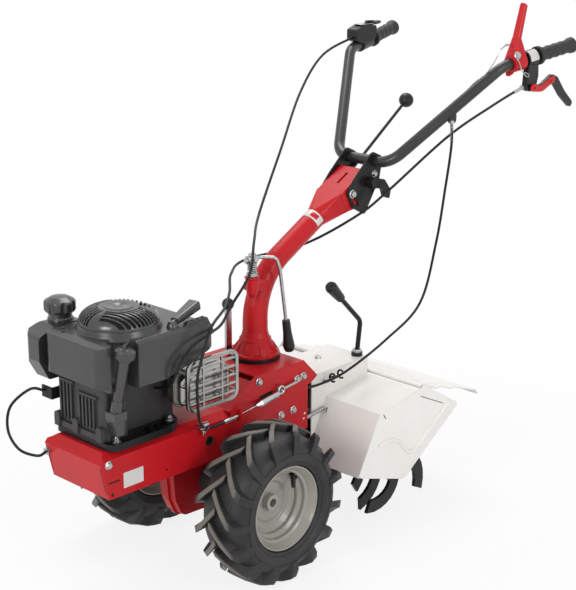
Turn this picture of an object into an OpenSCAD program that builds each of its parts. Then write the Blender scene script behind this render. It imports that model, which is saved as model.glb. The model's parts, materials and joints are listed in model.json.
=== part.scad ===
// Walking tractor with a rear tiller.
// Millimetres. Forward is +X, left is +Y, up is +Z, the ground is z 0.
// The parts are drawn with the wheel axle above x 0 and moved so that the
// origin lies under the middle of the whole machine.

/* [Wheels] */
// Tyre diameter over the lug tips
tyre_d = 330; // [310:1:350]
// Tyre section width
tyre_w = 126; // [116:1:134]
// Distance between the middle planes of the tyres
track = 386; // [370:1:420]
// Height of a lug above the carcass
lug_h = 16; // [10:1:20]
// Lugs in each row of a tyre
lug_count = 15; // [12:1:18]
// Diameter of the rim flange
rim_d = 178; // [170:1:186]
// Width of the rim
rim_w = 100; // [94:1:106]
// Diameter of a half shaft
shaft_d = 22; // [18:1:26]

/* [Chassis] */
// Width of the chassis over its side plates
chassis_w = 176; // [168:1:184]
// Reach of the chassis in front of the axle
chassis_front = 330; // [322:1:346]
// Reach of the chassis behind the axle
chassis_rear = 222; // [215:1:228]
// Height of the lower edge above the axle
chassis_rise = 76; // [70:1:84]
// Height of the engine deck above the lower edge
deck_h = 94; // [90:1:100]
// Height of the saddle above the lower edge
saddle_h = 153; // [148:1:160]
// Sheet thickness of the chassis
sheet_t = 3; // [2:0.5:4]
// Width of the gear case
case_w = 44; // [38:1:52]

/* [Engine] */
// Distance from the axle to the crankshaft
crank_x = 222; // [216:1:230]
// Diameter of the engine base
engine_d = 200; // [190:1:210]
// Height of the crankcase with its base
block_h = 120; // [114:1:126]
// Height of the blower housing
housing_h = 93; // [88:1:98]
// Diameter of the starter dome
dome_d = 160; // [154:1:170]
// Height of the starter dome
dome_h = 30; // [26:1:36]
// Length of the fuel tank
tank_l = 105; // [95:1:112]
// Length of the silencer
silencer_l = 130; // [120:1:138]

/* [Column] */
// Distance from the axle back to the swivel
swivel_x = 150; // [145:1:155]
// Diameter of the swivel ring
ring_d = 108; // [102:1:114]
// Diameter of the column at its foot
column_d = 55; // [50:1:60]
// Diameter of the column at its head
column_top_d = 46; // [42:1:50]
// Straight height of the column above the saddle
column_rise = 82; // [76:1:90]
// Bend radius of the column
column_bend = 150; // [140:1:165]
// Straight length behind the bend
column_run = 130; // [120:1:140]
// Half width of the column head
head_y = 36; // [33:1:40]

/* [Handlebar] */
// Tube diameter of the handlebar
bar_d = 25; // [22:1:28]
// Distance between the grips
bar_w = 528; // [500:2:560]
// Reach of the grips behind the pivot
bar_reach = 430; // [410:1:450]
// Height of the grips above the pivot
bar_up = 285; // [270:1:300]
// Grip diameter
grip_d = 32; // [30:1:36]
// Grip length
grip_l = 112; // [100:1:120]
// Travel of the handlebar from its high to its low position
bar_travel = 30; // [20:1:35]

/* [Tiller] */
// Width of the tiller hood
hood_w = 440; // [420:2:460]
// Diameter over the tine tips
rotor_d = 270; // [256:1:276]
// Distance from the axle back to the rotor
rotor_x = 400; // [396:1:412]
// Sheet thickness of the hood
hood_t = 2.5; // [2:0.5:3.5]
// Length of the rear flap
flap_l = 208; // [180:1:220]
// Half width of the central cover
cover_y = 62; // [56:1:68]

/* [Hidden] */
$fn = 48;
// Gap between still parts with curved faces
fit = 0.2;
// Radial gap of a turning fit
run = 0.06;
// Gap between flat faces that slide
slide = 0.4;

red = [0.75, 0.07, 0.09];
white = [0.93, 0.93, 0.9];
black = [0.06, 0.06, 0.07];
grey = [0.33, 0.33, 0.33];
steel = [0.7, 0.7, 0.7];

// Heights
axle_z = tyre_d / 2;
floor_z = axle_z + chassis_rise;
deck_z = floor_z + deck_h;
saddle_z = floor_z + saddle_h;
block_z = deck_z + block_h;
housing_z = block_z + housing_h;
dome_z = housing_z + 12;

// Overall frame
bar_pivot = [-466, saddle_z + 341];
cable_front = chassis_front + 58;
rear_reach = bar_reach - bar_pivot[0];
blade_out = 28;
shift_x = (rear_reach + blade_out - cable_front) / 2;
grip_z = bar_pivot[1] + bar_up;
chassis_y = chassis_w / 2;
saddle_t = 4;
saddle_y = chassis_y + saddle_t;

function unit(v) = v / norm(v);
function left(a, b) = let (s = unit(b - a)) [-s[1], s[0]];
function mitre(p, i) =
  i == 0 ? left(p[0], p[1]) :
  i == len(p) - 1 ? left(p[i - 1], p[i]) :
  let (a = left(p[i - 1], p[i]), b = left(p[i], p[i + 1])) (a + b) / (1 + a * b);
// Outline of a sheet of thickness t folded along the line p
function band(p, t) =
  concat(p, [for (i = [len(p) - 1 : -1 : 0]) p[i] + t * mitre(p, i)]);
function half_turn(a) = a > 180 ? a - 360 : a < -180 ? a + 360 : a;
function corner(a, b, c, r, n) = let (
  u = unit(a - b),
  v = unit(c - b),
  h = acos(u * v) / 2,
  o = b + unit(u + v) * r / sin(h),
  f = b + u * r / tan(h) - o,
  g = b + v * r / tan(h) - o,
  s = atan2(f[1], f[0]),
  w = half_turn(atan2(g[1], g[0]) - s)
) [for (k = [0 : n]) o + r * [cos(s + w * k / n), sin(s + w * k / n)]];
function flat(p) = [p[0], p[1]];
// Outline with rounded corners, from points that carry their own radius
function rounded(p, n = 6) = [
  for (i = [0 : len(p) - 1])
    let (a = p[(i + len(p) - 1) % len(p)], b = p[i], c = p[(i + 1) % len(p)])
      each b[2] > 0 ? corner(flat(a), flat(b), flat(c), b[2], n) : [flat(b)]
];
function blend(a, b, c, d, t) =
  0.5 * (2 * b + (c - a) * t + (2 * a - 5 * b + 4 * c - d) * t * t
  + (3 * b - a - 3 * c + d) * t * t * t);
// Smooth line through the points p, n steps to a span
function smooth(p, n) = concat([
  for (i = [0 : len(p) - 2]) for (k = [0 : n - 1])
    blend(p[max(i - 1, 0)], p[i], p[i + 1], p[min(i + 2, len(p) - 1)], k / n)
], [p[len(p) - 1]]);
function tangents(p) =
  [for (i = [0 : len(p) - 1]) unit(p[min(i + 1, len(p) - 1)] - p[max(i - 1, 0)])];
function carry(t, i, n) =
  i == len(t) ? [] :
  let (m = unit(n - (n * t[i]) * t[i])) concat([m], carry(t, i + 1, m));
function dia(d, i) = is_list(d) ? d[i] : d;

// Round sweep along the points p, with one diameter or one for each point
module sweep(p, d, sides) {
  t = tangents(p);
  n = carry(t, 0, abs(t[0][2]) < 0.9 ? [0, 0, 1] : [1, 0, 0]);
  last = len(p) - 1;
  polyhedron(
    points = [for (i = [0 : last]) for (k = [0 : sides - 1])
      let (a = 360 * k / sides)
        p[i] + dia(d, i) / 2 * (cos(a) * n[i] + sin(a) * cross(t[i], n[i]))],
    faces = concat(
      [[for (k = [0 : sides - 1]) k]],
      [for (i = [0 : last - 1]) for (k = [0 : sides - 1])
        [i * sides + k, (i + 1) * sides + k,
         (i + 1) * sides + (k + 1) % sides, i * sides + (k + 1) % sides]],
      [[for (k = [sides - 1 : -1 : 0]) last * sides + k]]
    )
  );
}

// Turn the z axis into the direction d at the point p
module aim(p, d) {
  w = unit(d);
  u = unit(cross(abs(w[2]) < 0.9 ? [0, 0, 1] : [1, 0, 0], w));
  v = cross(w, u);
  multmatrix([
    [u[0], v[0], w[0], p[0]],
    [u[1], v[1], w[1], p[1]],
    [u[2], v[2], w[2], p[2]]
  ]) children();
}

module rod(a, b, d) {
  aim(a, b - a) cylinder(d = d, h = norm(b - a));
}

function turn_of(p, i) = acos(unit(p[i] - p[i - 1]) * unit(p[i + 1] - p[i]));
// Points of the arc with radius r that rounds the line p at its point i
function bend_arc(p, i, r, n) = let (
  s = unit(p[i] - p[i - 1]),
  w = unit(cross(s, unit(p[i + 1] - p[i]))),
  u = cross(s, w),
  a = turn_of(p, i),
  c = p[i] - s * r * tan(a / 2) - u * r
) [for (k = [0 : n]) c + r * (u * cos(a * k / n) + s * sin(a * k / n))];
function bend_path(p, r, n) = concat(
  [p[0]], [for (i = [1 : len(p) - 2]) each bend_arc(p, i, r, n)], [p[len(p) - 1]]);

// Round bar through the points p with the bend radius r
module bent(p, d, r, sides = 16, n = 6) {
  sweep(bend_path(p, r, n), d, sides);
}

// Extrude a side outline from y0 to y1
module side(y0, y1) {
  translate([0, y1, 0]) rotate([90, 0, 0]) linear_extrude(y1 - y0) children();
}

module both() {
  children();
  mirror([0, 1, 0]) children();
}

module place() {
  translate([shift_x, 0, 0]) children();
}

module across(x, z, d, y0, y1) {
  translate([x, y0, z]) rotate([-90, 0, 0]) cylinder(d = d, h = y1 - y0);
}

module box(x0, x1, y0, y1, z0, z1) {
  translate([x0, y0, z0]) cube([x1 - x0, y1 - y0, z1 - z0]);
}

// Chassis outline and holes
saddle_front = -62;
saddle_back = -205;
saddle_tail = -248;
ramp_x = 8;
ramp_top = -58;
ramp_z = saddle_z - 12;
tail_z = saddle_z - 42;
nose = 18;
pin_hole = [chassis_front - 9, floor_z + 9];
pin_hole_d = 8.5;
plug_hole = [69, floor_z + 47];
plug_hole_d = 16;
small_hole = [182, floor_z + 19];
inner_y = chassis_y - sheet_t;
// Sloped strip between the deck and the side plates
edge_w = 16;
edge_h = 11;
edge_z = deck_z - edge_h;
corner_gap = 2.5;
// The front wall leans forwards from its lower edge
front_lean = 18;
front_top = chassis_front + front_lean;
front_angle = atan2(front_lean, deck_z - nose - floor_z);
function front_x(z) = chassis_front + front_lean * (z - floor_z) / (deck_z - nose - floor_z);
side_outline = [
  [chassis_front, floor_z], [front_top, deck_z - nose],
  [front_top - nose + edge_h, edge_z], [ramp_x, edge_z],
  [ramp_x, deck_z], [ramp_top, ramp_z], [saddle_back + 4, ramp_z],
  [-chassis_rear, tail_z], [-chassis_rear, floor_z - 8],
  [-150, floor_z - 8],
  [-110, floor_z]
];
deck_line = [
  [chassis_front, floor_z], [front_top, deck_z - nose],
  [front_top - nose, deck_z], [ramp_x, deck_z]
];
ramp_line = [[ramp_x + sheet_t, deck_z], [ramp_x, deck_z], [ramp_top, ramp_z]];

// Cross-section of the deck with its sloped edges, drop below the outer face
module deck_section(drop) {
  low = floor_z - 1;
  translate([ramp_x, 0, 0]) rotate([90, 0, 90]) linear_extrude(front_top - ramp_x + 1) polygon([
    [-inner_y, low], [inner_y, low], [inner_y, edge_z - drop],
    [inner_y - edge_w, deck_z - drop], [edge_w - inner_y, deck_z - drop], [-inner_y, edge_z - drop]]);
}

// Folded deck with sloped edges, its ramp and the rear wall between the side plates
deck_hole_d = 120;

module chassis() place() color(red) difference() {
  union() {
    intersection() {
      side(-inner_y, inner_y) polygon(concat(deck_line, [[ramp_x, floor_z]]));
      deck_section(0);
    }
    side(-inner_y, inner_y) polygon(band(ramp_line, sheet_t));
    box(-chassis_rear, sheet_t - chassis_rear, -inner_y, inner_y, floor_z - 8, tail_z);
  }
  intersection() {
    box(ramp_x + sheet_t, front_top, -inner_y - 1, inner_y + 1, floor_z - 2, deck_z);
    deck_section(sheet_t);
    side(-inner_y - 1, inner_y + 1) polygon([
      [ramp_x, floor_z - 2], [front_x(floor_z - 2) - sheet_t, floor_z - 2],
      [front_top - sheet_t, deck_z - nose - 1], [front_top - nose - 1, deck_z - sheet_t],
      [ramp_x, deck_z - sheet_t]]);
  }
  box(ramp_x - 1, ramp_x + sheet_t + 1, edge_w - inner_y, inner_y - edge_w, floor_z - 2, edge_z - sheet_t);
  both() side(inner_y - corner_gap, inner_y + 1) polygon([
    [chassis_front - 2 * sheet_t, floor_z + 12], [front_top, floor_z + 12],
    [front_top + sheet_t, deck_z - nose - 8], [front_x(deck_z - nose - 8) - 2 * sheet_t, deck_z - nose - 8]]);
  translate([crank_x, 0, floor_z]) cylinder(d = deck_hole_d, h = deck_h + 10);
}

module side_plates() place() color(red) both() difference() {
  side(inner_y, chassis_y) polygon(side_outline);
  across(pin_hole[0], pin_hole[1], pin_hole_d, inner_y - 1, chassis_y + 1);
  across(plug_hole[0], plug_hole[1], plug_hole_d, inner_y - 1, chassis_y + 1);
  across(small_hole[0], small_hole[1], 7, inner_y - 1, chassis_y + 1);
}

// Saddle that carries the column
saddle_outline = [
  [ramp_x, saddle_z - 48], [saddle_front, saddle_z], [saddle_back, saddle_z],
  [saddle_tail, saddle_z - 44], [saddle_tail + 11, saddle_z - 52],
  [saddle_tail + 24, saddle_z - 58]
];

module saddle() place() color(red) union() {
  side(-saddle_y, saddle_y)
    polygon(band([[saddle_front, saddle_z], [saddle_back, saddle_z],
      [saddle_tail, saddle_z - 44]], saddle_t));
  both() side(chassis_y, saddle_y) polygon(saddle_outline);
}

// Gear case under the chassis
case_outline = [
  [-75, floor_z + 40, 4], [108, floor_z + 40, 4], [113, floor_z, 8],
  [105, axle_z - 20, 10], [87, axle_z - 60, 22], [-30, axle_z - 64, 30],
  [-75, axle_z - 20, 30]
];
case_mid = [20, axle_z + 20];
case_lip = 1.05;

module gear_case() place() color(red) union() {
  side(-case_w / 2, case_w / 2) polygon(rounded(case_outline));
  side(-5, 5)
    polygon([for (p = rounded(case_outline))
      [case_mid[0] + (p[0] - case_mid[0]) * case_lip,
       min(case_mid[1] + (p[1] - case_mid[1]) * case_lip, floor_z + 40)]]);
  for (x = [-70, 90])
    box(x, x + 8, -inner_y, inner_y, floor_z + 10, floor_z + 40);
}

// Half shafts turn in the axle housings
housing_d = 80;
housing_end = track / 2 - tyre_w / 2 - 10;

module axle_housings() place() color(grey) both() difference() {
  across(0, axle_z, housing_d, case_w / 2, housing_end);
  across(0, axle_z, shaft_d + 2 * run, case_w / 2 - 1, housing_end + 1);
}

// Rim and tyre
rim_r = rim_d / 2;
rim_t = 3;
seat_r = rim_r - 13;
well_r = seat_r - 10;
hub_d = 34;
hub_hole = 18;
hub_out = 10;
hub_in = -50;
hub_step = -12;
half_w = rim_w / 2;

module wheel_at() {
  translate([0, track / 2, axle_z]) rotate([-90, 0, 0]) children();
}

flare = 20;
lip_t = 2.5;
dish_z = -10;
dish_t = 5;
valve_turn = 225;
// Barrel of the rim from lip to lip; the tyre side first, then the open side
barrel_half = [
  [rim_r - 1, half_w - 3, 0], [seat_r, half_w - flare, 6], [seat_r, 20, 0], [well_r, 14, 0]
];
bowl_half = [
  [well_r - rim_t, 16, 4], [seat_r - rim_t - 1, 22, 4], [seat_r - rim_t - 1, half_w - flare, 3],
  [seat_r + 1, half_w - flare + 3, 3], [rim_r - 5, half_w - 5, 3], [rim_r - lip_t, half_w, 0],
  [rim_r, half_w, 0], [rim_r + 0.6, half_w - 1.6, 0]
];
function far_side(p) = [for (i = [len(p) - 1 : -1 : 0]) [p[i][0], -p[i][1], p[i][2]]];

module rim() {
  difference() {
    union() {
      rotate_extrude($fn = 72)
        polygon(rounded(concat(barrel_half, far_side(barrel_half), far_side(bowl_half), bowl_half), 4));
      rotate_extrude($fn = 72) polygon(rounded([
        [hub_hole / 2 + 1, dish_z, 0], [hub_hole / 2 + 1, dish_z + dish_t, 0], [40, dish_z + dish_t, 4],
        [46, dish_z + 12, 3], [52, dish_z + 12, 4], [well_r - 1, dish_z + 20, 0],
        [well_r - 1, dish_z + 14, 0], [55, dish_z + 7, 3], [49, dish_z + 7, 3], [43, dish_z, 3]], 4));
      translate([0, 0, hub_in]) cylinder(d = hub_d, h = hub_out - hub_in);
    }
    translate([0, 0, hub_in - 1]) cylinder(d = hub_hole, h = 100);
    translate([0, 0, hub_in - 1]) cylinder(d = shaft_d + 0.1, h = hub_step - hub_in + 1);
    rotate([0, 0, valve_turn]) translate([well_r - 12, 0, 18]) rotate([0, 90, 0]) linear_extrude(30)
      polygon(rounded([[-5, -14, 4.5], [5, -14, 4.5], [5, 14, 4.5], [-5, 14, 4.5]]));
  }
}

tread_r = tyre_d / 2;
carcass_r = tread_r - lug_h;
belly_r = 116;
belly_w = tyre_w / 2 - 2;
bead_w = half_w - rim_t - 0.3;
wall_step = 1.6;
function carcass_at(z) =
  belly_r + (carcass_r - belly_r) * pow(1 - pow(abs(z) / belly_w, 2.6), 0.5);
crown_steps = 10;
crown = [for (k = [-crown_steps : crown_steps])
  let (z = belly_w * sin(90 * k / crown_steps)) [carcass_at(z), z]];
flank = [for (k = [1 : 4])
  [belly_r - (belly_r - rim_r - 1.5) * sin(22.5 * k),
   belly_w - (belly_w - bead_w) * (1 - cos(22.5 * k))]];
// The sidewall steps in below its belly, and the bead lies on the flare of the rim
tyre_half = concat(
  [flank[0], flank[0] + [-3, -wall_step], flank[1] + [0, -wall_step], flank[2], flank[3]],
  [[rim_r - 0.7, bead_w], [seat_r + fit + 0.1, half_w - flare - 0.3]]
);
tyre_outline = concat(
  crown, tyre_half,
  [for (i = [len(tyre_half) - 1 : -1 : 0]) [tyre_half[i][0], -tyre_half[i][1]]]
);

// A lug runs from the middle of the tread round to the shoulder
lug_z = [-7, 20, 42, 57, 62.5];
lug_turn = [0, 11, 19, 22.5, 24];
lug_top = [tread_r, tread_r, tread_r - 1.5, tread_r - 8, tread_r - 25];
lug_half = [6.5, 7, 7.5, 8.5, 8.5];
lug_sink = 5;
lug_base = [for (z = lug_z) carcass_at(min(abs(z), belly_w - 1)) - lug_sink];

function lug_point(i, s, r, a) =
  let (t = a + lug_turn[i] + s * lug_half[i] / tread_r * 57.3)
    [r * cos(t), r * sin(t), lug_z[i]];

module lug(a) {
  last = len(lug_z) - 1;
  polyhedron(
    points = [for (i = [0 : last]) each [
      lug_point(i, -1.2, lug_base[i], a), lug_point(i, 1.2, lug_base[i], a),
      lug_point(i, 1, lug_top[i], a), lug_point(i, -1, lug_top[i], a)]],
    faces = concat(
      [[3, 2, 1, 0]],
      [for (i = [0 : last - 1]) for (k = [0 : 3])
        [i * 4 + k, i * 4 + (k + 1) % 4, (i + 1) * 4 + (k + 1) % 4, (i + 1) * 4 + k]],
      [[last * 4, last * 4 + 1, last * 4 + 2, last * 4 + 3]]
    )
  );
}

module tyre() {
  rotate_extrude($fn = 90) polygon(tyre_outline);
  for (k = [0 : lug_count - 1]) {
    lug(360 * k / lug_count);
    mirror([0, 0, 1]) lug(360 * (k + 0.5) / lug_count);
  }
}

module half_shaft() {
  across(0, axle_z, shaft_d, case_w / 2 + 2, track / 2 + hub_step);
}

module left_tyre() place() color(black) wheel_at() tyre();
module right_tyre() place() color(black) mirror([0, 1, 0]) wheel_at() tyre();
module left_rim() place() color(steel) wheel_at() rim();
module right_rim() place() color(steel) mirror([0, 1, 0]) wheel_at() rim();
module left_shaft() place() color(steel) half_shaft();
module right_shaft() place() color(steel) mirror([0, 1, 0]) half_shaft();

// Engine
sump_h = 16;
block_front = crank_x + 96;
block_left = 67;
block_right = 80;
block_side_r = 12;
barrel_x = 130;
barrel_y = 48;
block_plan = [
  [crank_x - 40, -block_right, 8], [block_front, -block_right, block_side_r],
  [block_front, block_left, block_side_r], [262, block_left, 8],
  [250, barrel_y, 6], [barrel_x, barrel_y, 0], [barrel_x, -barrel_y, 0],
  [crank_x - 50, -barrel_y, 6]
];
tray_floor = 5;
tray_wall = 4;
tray_web = 3;
tray_y = engine_d / 2 - 10;
tray_back = crank_x - engine_d / 2;
tray_front = block_front + 3;
foot_d = 22;
foot_h = 18;
foot_at = [[297, 73], [297, -73], [150, 60], [150, -60]];
function tray_outline(d) = rounded([
  [tray_back + d, -tray_y + d, 60 - d], [tray_front - d, -tray_y + d, 16 - d],
  [tray_front - d, tray_y - d, 22 - d], [tray_back + d, tray_y - d, 60 - d]]);

// Open tray with a pad under the crankcase, webs and screw bosses
module engine_base() place() color(black) translate([0, 0, deck_z]) union() {
  difference() {
    linear_extrude(sump_h - 2) polygon(tray_outline(0));
    translate([0, 0, tray_floor]) linear_extrude(sump_h) polygon(tray_outline(tray_wall));
  }
  linear_extrude(sump_h) polygon(rounded(block_plan));
  intersection() {
    translate([0, 0, 1]) linear_extrude(sump_h - 6) polygon(tray_outline(1));
    for (a = [80 : 25 : 280]) translate([crank_x - 30, 0, 0]) rotate([0, 0, a])
      box(30, engine_d, -tray_web / 2, tray_web / 2, 0, sump_h);
  }
  for (f = foot_at) translate([f[0], f[1], 1]) cylinder(d = foot_d, h = foot_h - 5);
}

// Front wall of the crankcase: two groups of ribs, a foot flange and three upright bosses
rib_w = 5;
rib_step = 11;
rib_out = 5;
rib_groups = [
  [[-64, -28], [deck_z + 36, block_z - 8]],
  [[-6, 43], [deck_z + 36, block_z - 22]]
];
front_boss_y = [-72, -14, 58];
pill_w = 16;
pill_out = 10;
lip_out = 6;

module crankcase() place() color(black) union() {
  translate([0, 0, deck_z + sump_h]) linear_extrude(block_h - sump_h) polygon(rounded(block_plan));
  box(block_front - 20, block_front + lip_out, -block_right + 6, block_left - 6,
    deck_z + sump_h, deck_z + sump_h + 12);
  for (g = rib_groups) {
    for (y = [g[0][0] : rib_step : g[0][1]])
      box(block_front - 2, block_front + rib_out, y - rib_w / 2, y + rib_w / 2, g[1][0], g[1][1]);
    box(block_front - 3, block_front + rib_out - 1, g[0][0] - 4, g[0][1] + 4, g[1][1] - 1, g[1][1] + 5);
  }
  for (y = front_boss_y)
    translate([block_front - 4, y, 0]) rotate([90, 0, 90]) linear_extrude(pill_out + 4) polygon(rounded([
      [-pill_w / 2, deck_z + sump_h, 0], [pill_w / 2, deck_z + sump_h, 0],
      [pill_w / 2, deck_z + 46, 7], [-pill_w / 2, deck_z + 46, 7]]));
}

fin_step = 9;
fin_t = 3;

module cylinder_barrel() place() color(grey) union() {
  box(50, barrel_x, -34, 34, deck_z + 50, block_z - 12);
  for (x = [58 : fin_step : barrel_x - 5])
    box(x, x + fin_t, -barrel_y, barrel_y, deck_z + 40, block_z - 4);
  box(36, 50, -40, 40, deck_z + 44, block_z - 6);
}

// Blower housing with the front cover, left cover and the bay of the oil filler
notch_front = crank_x + 88;
housing_right = 98;
housing_left = 100;
housing_nose = crank_x + 118;
housing_tail = 47;
bay_y = 54;
housing_plan = [
  [housing_nose, -86, 22], [housing_nose, 86, 18], [notch_front, 86, 4],
  [notch_front - 2, 68, 6], [crank_x + 74, bay_y, 6], [crank_x + 54, bay_y, 6], [crank_x + 40, 68, 6],
  [crank_x + 35, housing_left, 2],
  [62, housing_left, 26], [housing_tail, 50, 20], [housing_tail, -50, 20],
  [62, -housing_right, 26], [crank_x + 70, -housing_right, 10]
];
// Side view: rounded front edge, deck, sloped tail and a lower edge that rises rearward
nose_rise = 11;
housing_side = [
  [block_front + 1, block_z, 0], [block_front + 1, block_z + nose_rise, 0],
  [housing_nose + 5, block_z + nose_rise, 0], [housing_nose + 5, housing_z - 5, 8],
  [housing_nose - 18, housing_z, 12], [84, housing_z, 16], [40, housing_z - 20, 0],
  [40, block_z + 45, 0], [130, block_z + 16, 10], [190, block_z, 0]
];
// Front view: rounded shoulders
housing_front = [
  [-housing_right - 1, block_z, 0], [-housing_right - 1, housing_z - 10, 10],
  [-housing_right + 16, housing_z + 1, 12], [housing_left - 9, housing_z + 1, 7],
  [housing_left + 1, housing_z - 7, 6], [housing_left + 1, block_z, 0]
];
seat_d = dome_d + 10;
deck_holes = [[crank_x + 84, -68], [crank_x + 98, -50], [crank_x + 68, -82]];
vent_count = 4;
vent_w = 8;
vent_step = 13;
vent_x = 84;
ridge_y = [86, 97];
ridge_h = 9;

module blower_housing() place() color(grey) difference() {
  union() {
    intersection() {
      translate([0, 0, block_z]) linear_extrude(housing_h) polygon(rounded(housing_plan));
      side(-120, 120) polygon(rounded(housing_side));
      rotate([90, 0, 90]) linear_extrude(500) polygon(rounded(housing_front));
    }
    translate([crank_x, 0, housing_z - 6]) rotate_extrude($fn = 72) polygon([
      [0, 0], [seat_d / 2 + 3, 0], [seat_d / 2, 7], [seat_d / 2 - 3, dome_z - housing_z + 6],
      [0, dome_z - housing_z + 6]]);
    side(ridge_y[0], ridge_y[1]) polygon(rounded([
      [vent_x - 24, housing_z - 24, 0], [vent_x - 6, housing_z + ridge_h, 6],
      [vent_x + vent_count * vent_step - 6, housing_z + ridge_h - 2, 6],
      [vent_x + vent_count * vent_step + 4, housing_z - 24, 0]]));
  }
  for (k = [0 : vent_count - 1])
    box(vent_x + k * vent_step, vent_x + k * vent_step + vent_w, ridge_y[0] + 2, ridge_y[1] - 2,
      housing_z - 4, housing_z + 20);
  for (h = deck_holes) translate([h[0], h[1], housing_z - 14]) cylinder(d = 9, h = 30);
}

// Starter dome: a flat cap and four fields of parallel slots between solid ribs
dome_top = 76;
dome_t = 4;
field_count = 4;
field_turn = 20;
field_slots = 9;
slot_step = 8.5;
slot_cut_w = 4.2;
field_rib = 11;
slot_in = dome_top / 2 + 3;
slot_out = dome_d / 2 - 3.5;
slot_floor = 7;
dome_curve = [for (k = [0 : 6])
  [dome_top / 2 + (dome_d - dome_top) / 2 * cos(15 * k), dome_h * sin(15 * k)]];

// One field between two ribs, seen from above
module slot_field() {
  span = 180 / field_count;
  intersection() {
    union() for (k = [0 : field_slots - 1])
      translate([0, (k - (field_slots - 1) / 2) * slot_step - slot_cut_w / 2, slot_floor])
        cube([dome_d, slot_cut_w, dome_h]);
    difference() {
      translate([0, 0, slot_floor - 1]) cylinder(r = slot_out, h = dome_h + 4);
      translate([0, 0, slot_floor - 2]) cylinder(r = slot_in, h = dome_h + 8);
    }
    translate([field_rib / 2 / sin(span), 0, slot_floor - 1]) linear_extrude(dome_h + 4)
      polygon([[0, 0], dome_d * [cos(span), sin(span)], dome_d * [cos(span), -sin(span)]]);
  }
}

module starter_dome() place() color(black) translate([crank_x, 0, dome_z]) difference() {
  union() {
    rotate_extrude($fn = 72) polygon(concat(
      dome_curve, [[0, dome_h]], [[0, dome_h - dome_t]],
      [for (k = [6 : -1 : 0]) [dome_curve[k][0] - dome_t, max(0, dome_curve[k][1] - dome_t)]]));
    translate([0, 0, dome_h - dome_t - 1]) cylinder(d = dome_top - 16, h = dome_t + 2.2);
  }
  for (k = [0 : field_count - 1]) rotate([0, 0, field_turn + 360 * k / field_count]) slot_field();
  translate([0, 0, dome_h + 0.4]) cylinder(d = 10, h = 4);
}

// Starter grip: flared socket, cord end and a tapered handle
grip_foot = [154, 80];
grip_dir = unit([-67, -13, 18]);
grip_from = [grip_foot[0], grip_foot[1], housing_z + 9];
handle_l = 66;

module handle_end(w, h) {
  linear_extrude(1) polygon(rounded([
    [-w / 2, -h / 2, 4], [w / 2, -h / 2, 4], [w / 2, h / 2, 4], [-w / 2, h / 2, 4]], 3));
}

module starter_grip() place() color(black) union() {
  translate([grip_foot[0], grip_foot[1], housing_z]) rotate_extrude() polygon([
    [0, 0], [12, 0], [11, 5], [9, 9], [9, 13], [0, 13]]);
  rod(grip_from - 2 * grip_dir, grip_from + 14 * grip_dir, 9);
  aim(grip_from + 8 * grip_dir, grip_dir) hull() {
    handle_end(18, 13);
    translate([0, 0, 14]) handle_end(20, 16);
    translate([0, 0, handle_l]) handle_end(27, 20);
    translate([0, 0, handle_l + 5]) handle_end(20, 13);
  }
}

// Fuel tank: shouldered body that narrows downwards, with a neck and a lobed cap
tank_back = 240;
tank_y = 168;
tank_low = block_z - 17;
tank_high = block_z + 90;
neck = [tank_back + 26, -130];
neck_h = 16;
cap_d = 64;
cap_h = 30;
cap_lobes = 8;

module fuel_tank() place() color(black) union() {
  intersection() {
    translate([0, 0, tank_low]) linear_extrude(tank_high - tank_low) polygon(rounded([
      [tank_back, -tank_y, 24], [tank_back + tank_l, -tank_y, 24],
      [tank_back + tank_l, -housing_right, 0], [tank_back, -housing_right, 0]]));
    side(-tank_y - 1, -housing_right) polygon(rounded([
      [tank_back + 46, tank_low, 8], [tank_back + tank_l - 22, tank_low, 8],
      [tank_back + tank_l + 1, tank_low + 44, 16], [tank_back + tank_l + 1, tank_high - 18, 12],
      [tank_back + 62, tank_high, 12], [tank_back - 1, tank_high, 0], [tank_back - 1, tank_low + 40, 12]]));
    translate([tank_back - 10, 0, 0]) rotate([90, 0, 90]) linear_extrude(tank_l + 20) polygon(rounded([
      [-housing_right, tank_low, 0], [-housing_right, tank_high, 0], [-tank_y + 20, tank_high, 8],
      [-tank_y + 14, tank_high - 18, 6], [-tank_y - 1, tank_high - 34, 10],
      [-tank_y - 1, tank_high - 50, 14], [-tank_y + 28, tank_low + 36, 14], [-tank_y + 32, tank_low, 6]]));
    translate([0, 0, tank_low - 1]) linear_extrude(tank_high - tank_low + 2) polygon(rounded([
      [tank_back, -housing_right, 0], [tank_back + tank_l, -housing_right, 0],
      [tank_back + tank_l, -tank_y + 34, 16], [tank_back + tank_l - 32, -tank_y, 24],
      [tank_back + 12, -tank_y, 30], [tank_back, -tank_y + 20, 20]]));
  }
  translate([neck[0], neck[1], tank_high]) rotate_extrude() polygon([
    [0, -24], [26, -24], [26, 3], [24, 6], [24, neck_h], [0, neck_h]]);
}

module fuel_cap() place() color(black)
  translate([neck[0], neck[1], tank_high + neck_h]) difference() {
    rotate_extrude($fn = 72) polygon(rounded([
      [0, 0, 0], [cap_d / 2 - 3, 0, 0], [cap_d / 2, 4, 2], [cap_d / 2, cap_h - 8, 6],
      [cap_d / 2 - 14, cap_h, 6], [0, cap_h + 2, 0]]));
    for (k = [0 : cap_lobes - 1]) rotate([0, 0, 360 * (k + 0.5) / cap_lobes])
      translate([cap_d / 2 + 4, 0, -1]) cylinder(d = 15, h = cap_h + 10);
  }

// Oil filler: boss on the block, slanted tube, cap with a thumb tab
filler_foot = [crank_x + 80, block_left];
filler_dir = unit([-12, 14, 112]);
filler_from = [filler_foot[0], block_left + 16, deck_z + 80];
filler_l = 108;
filler_cap_d = 42;

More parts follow.
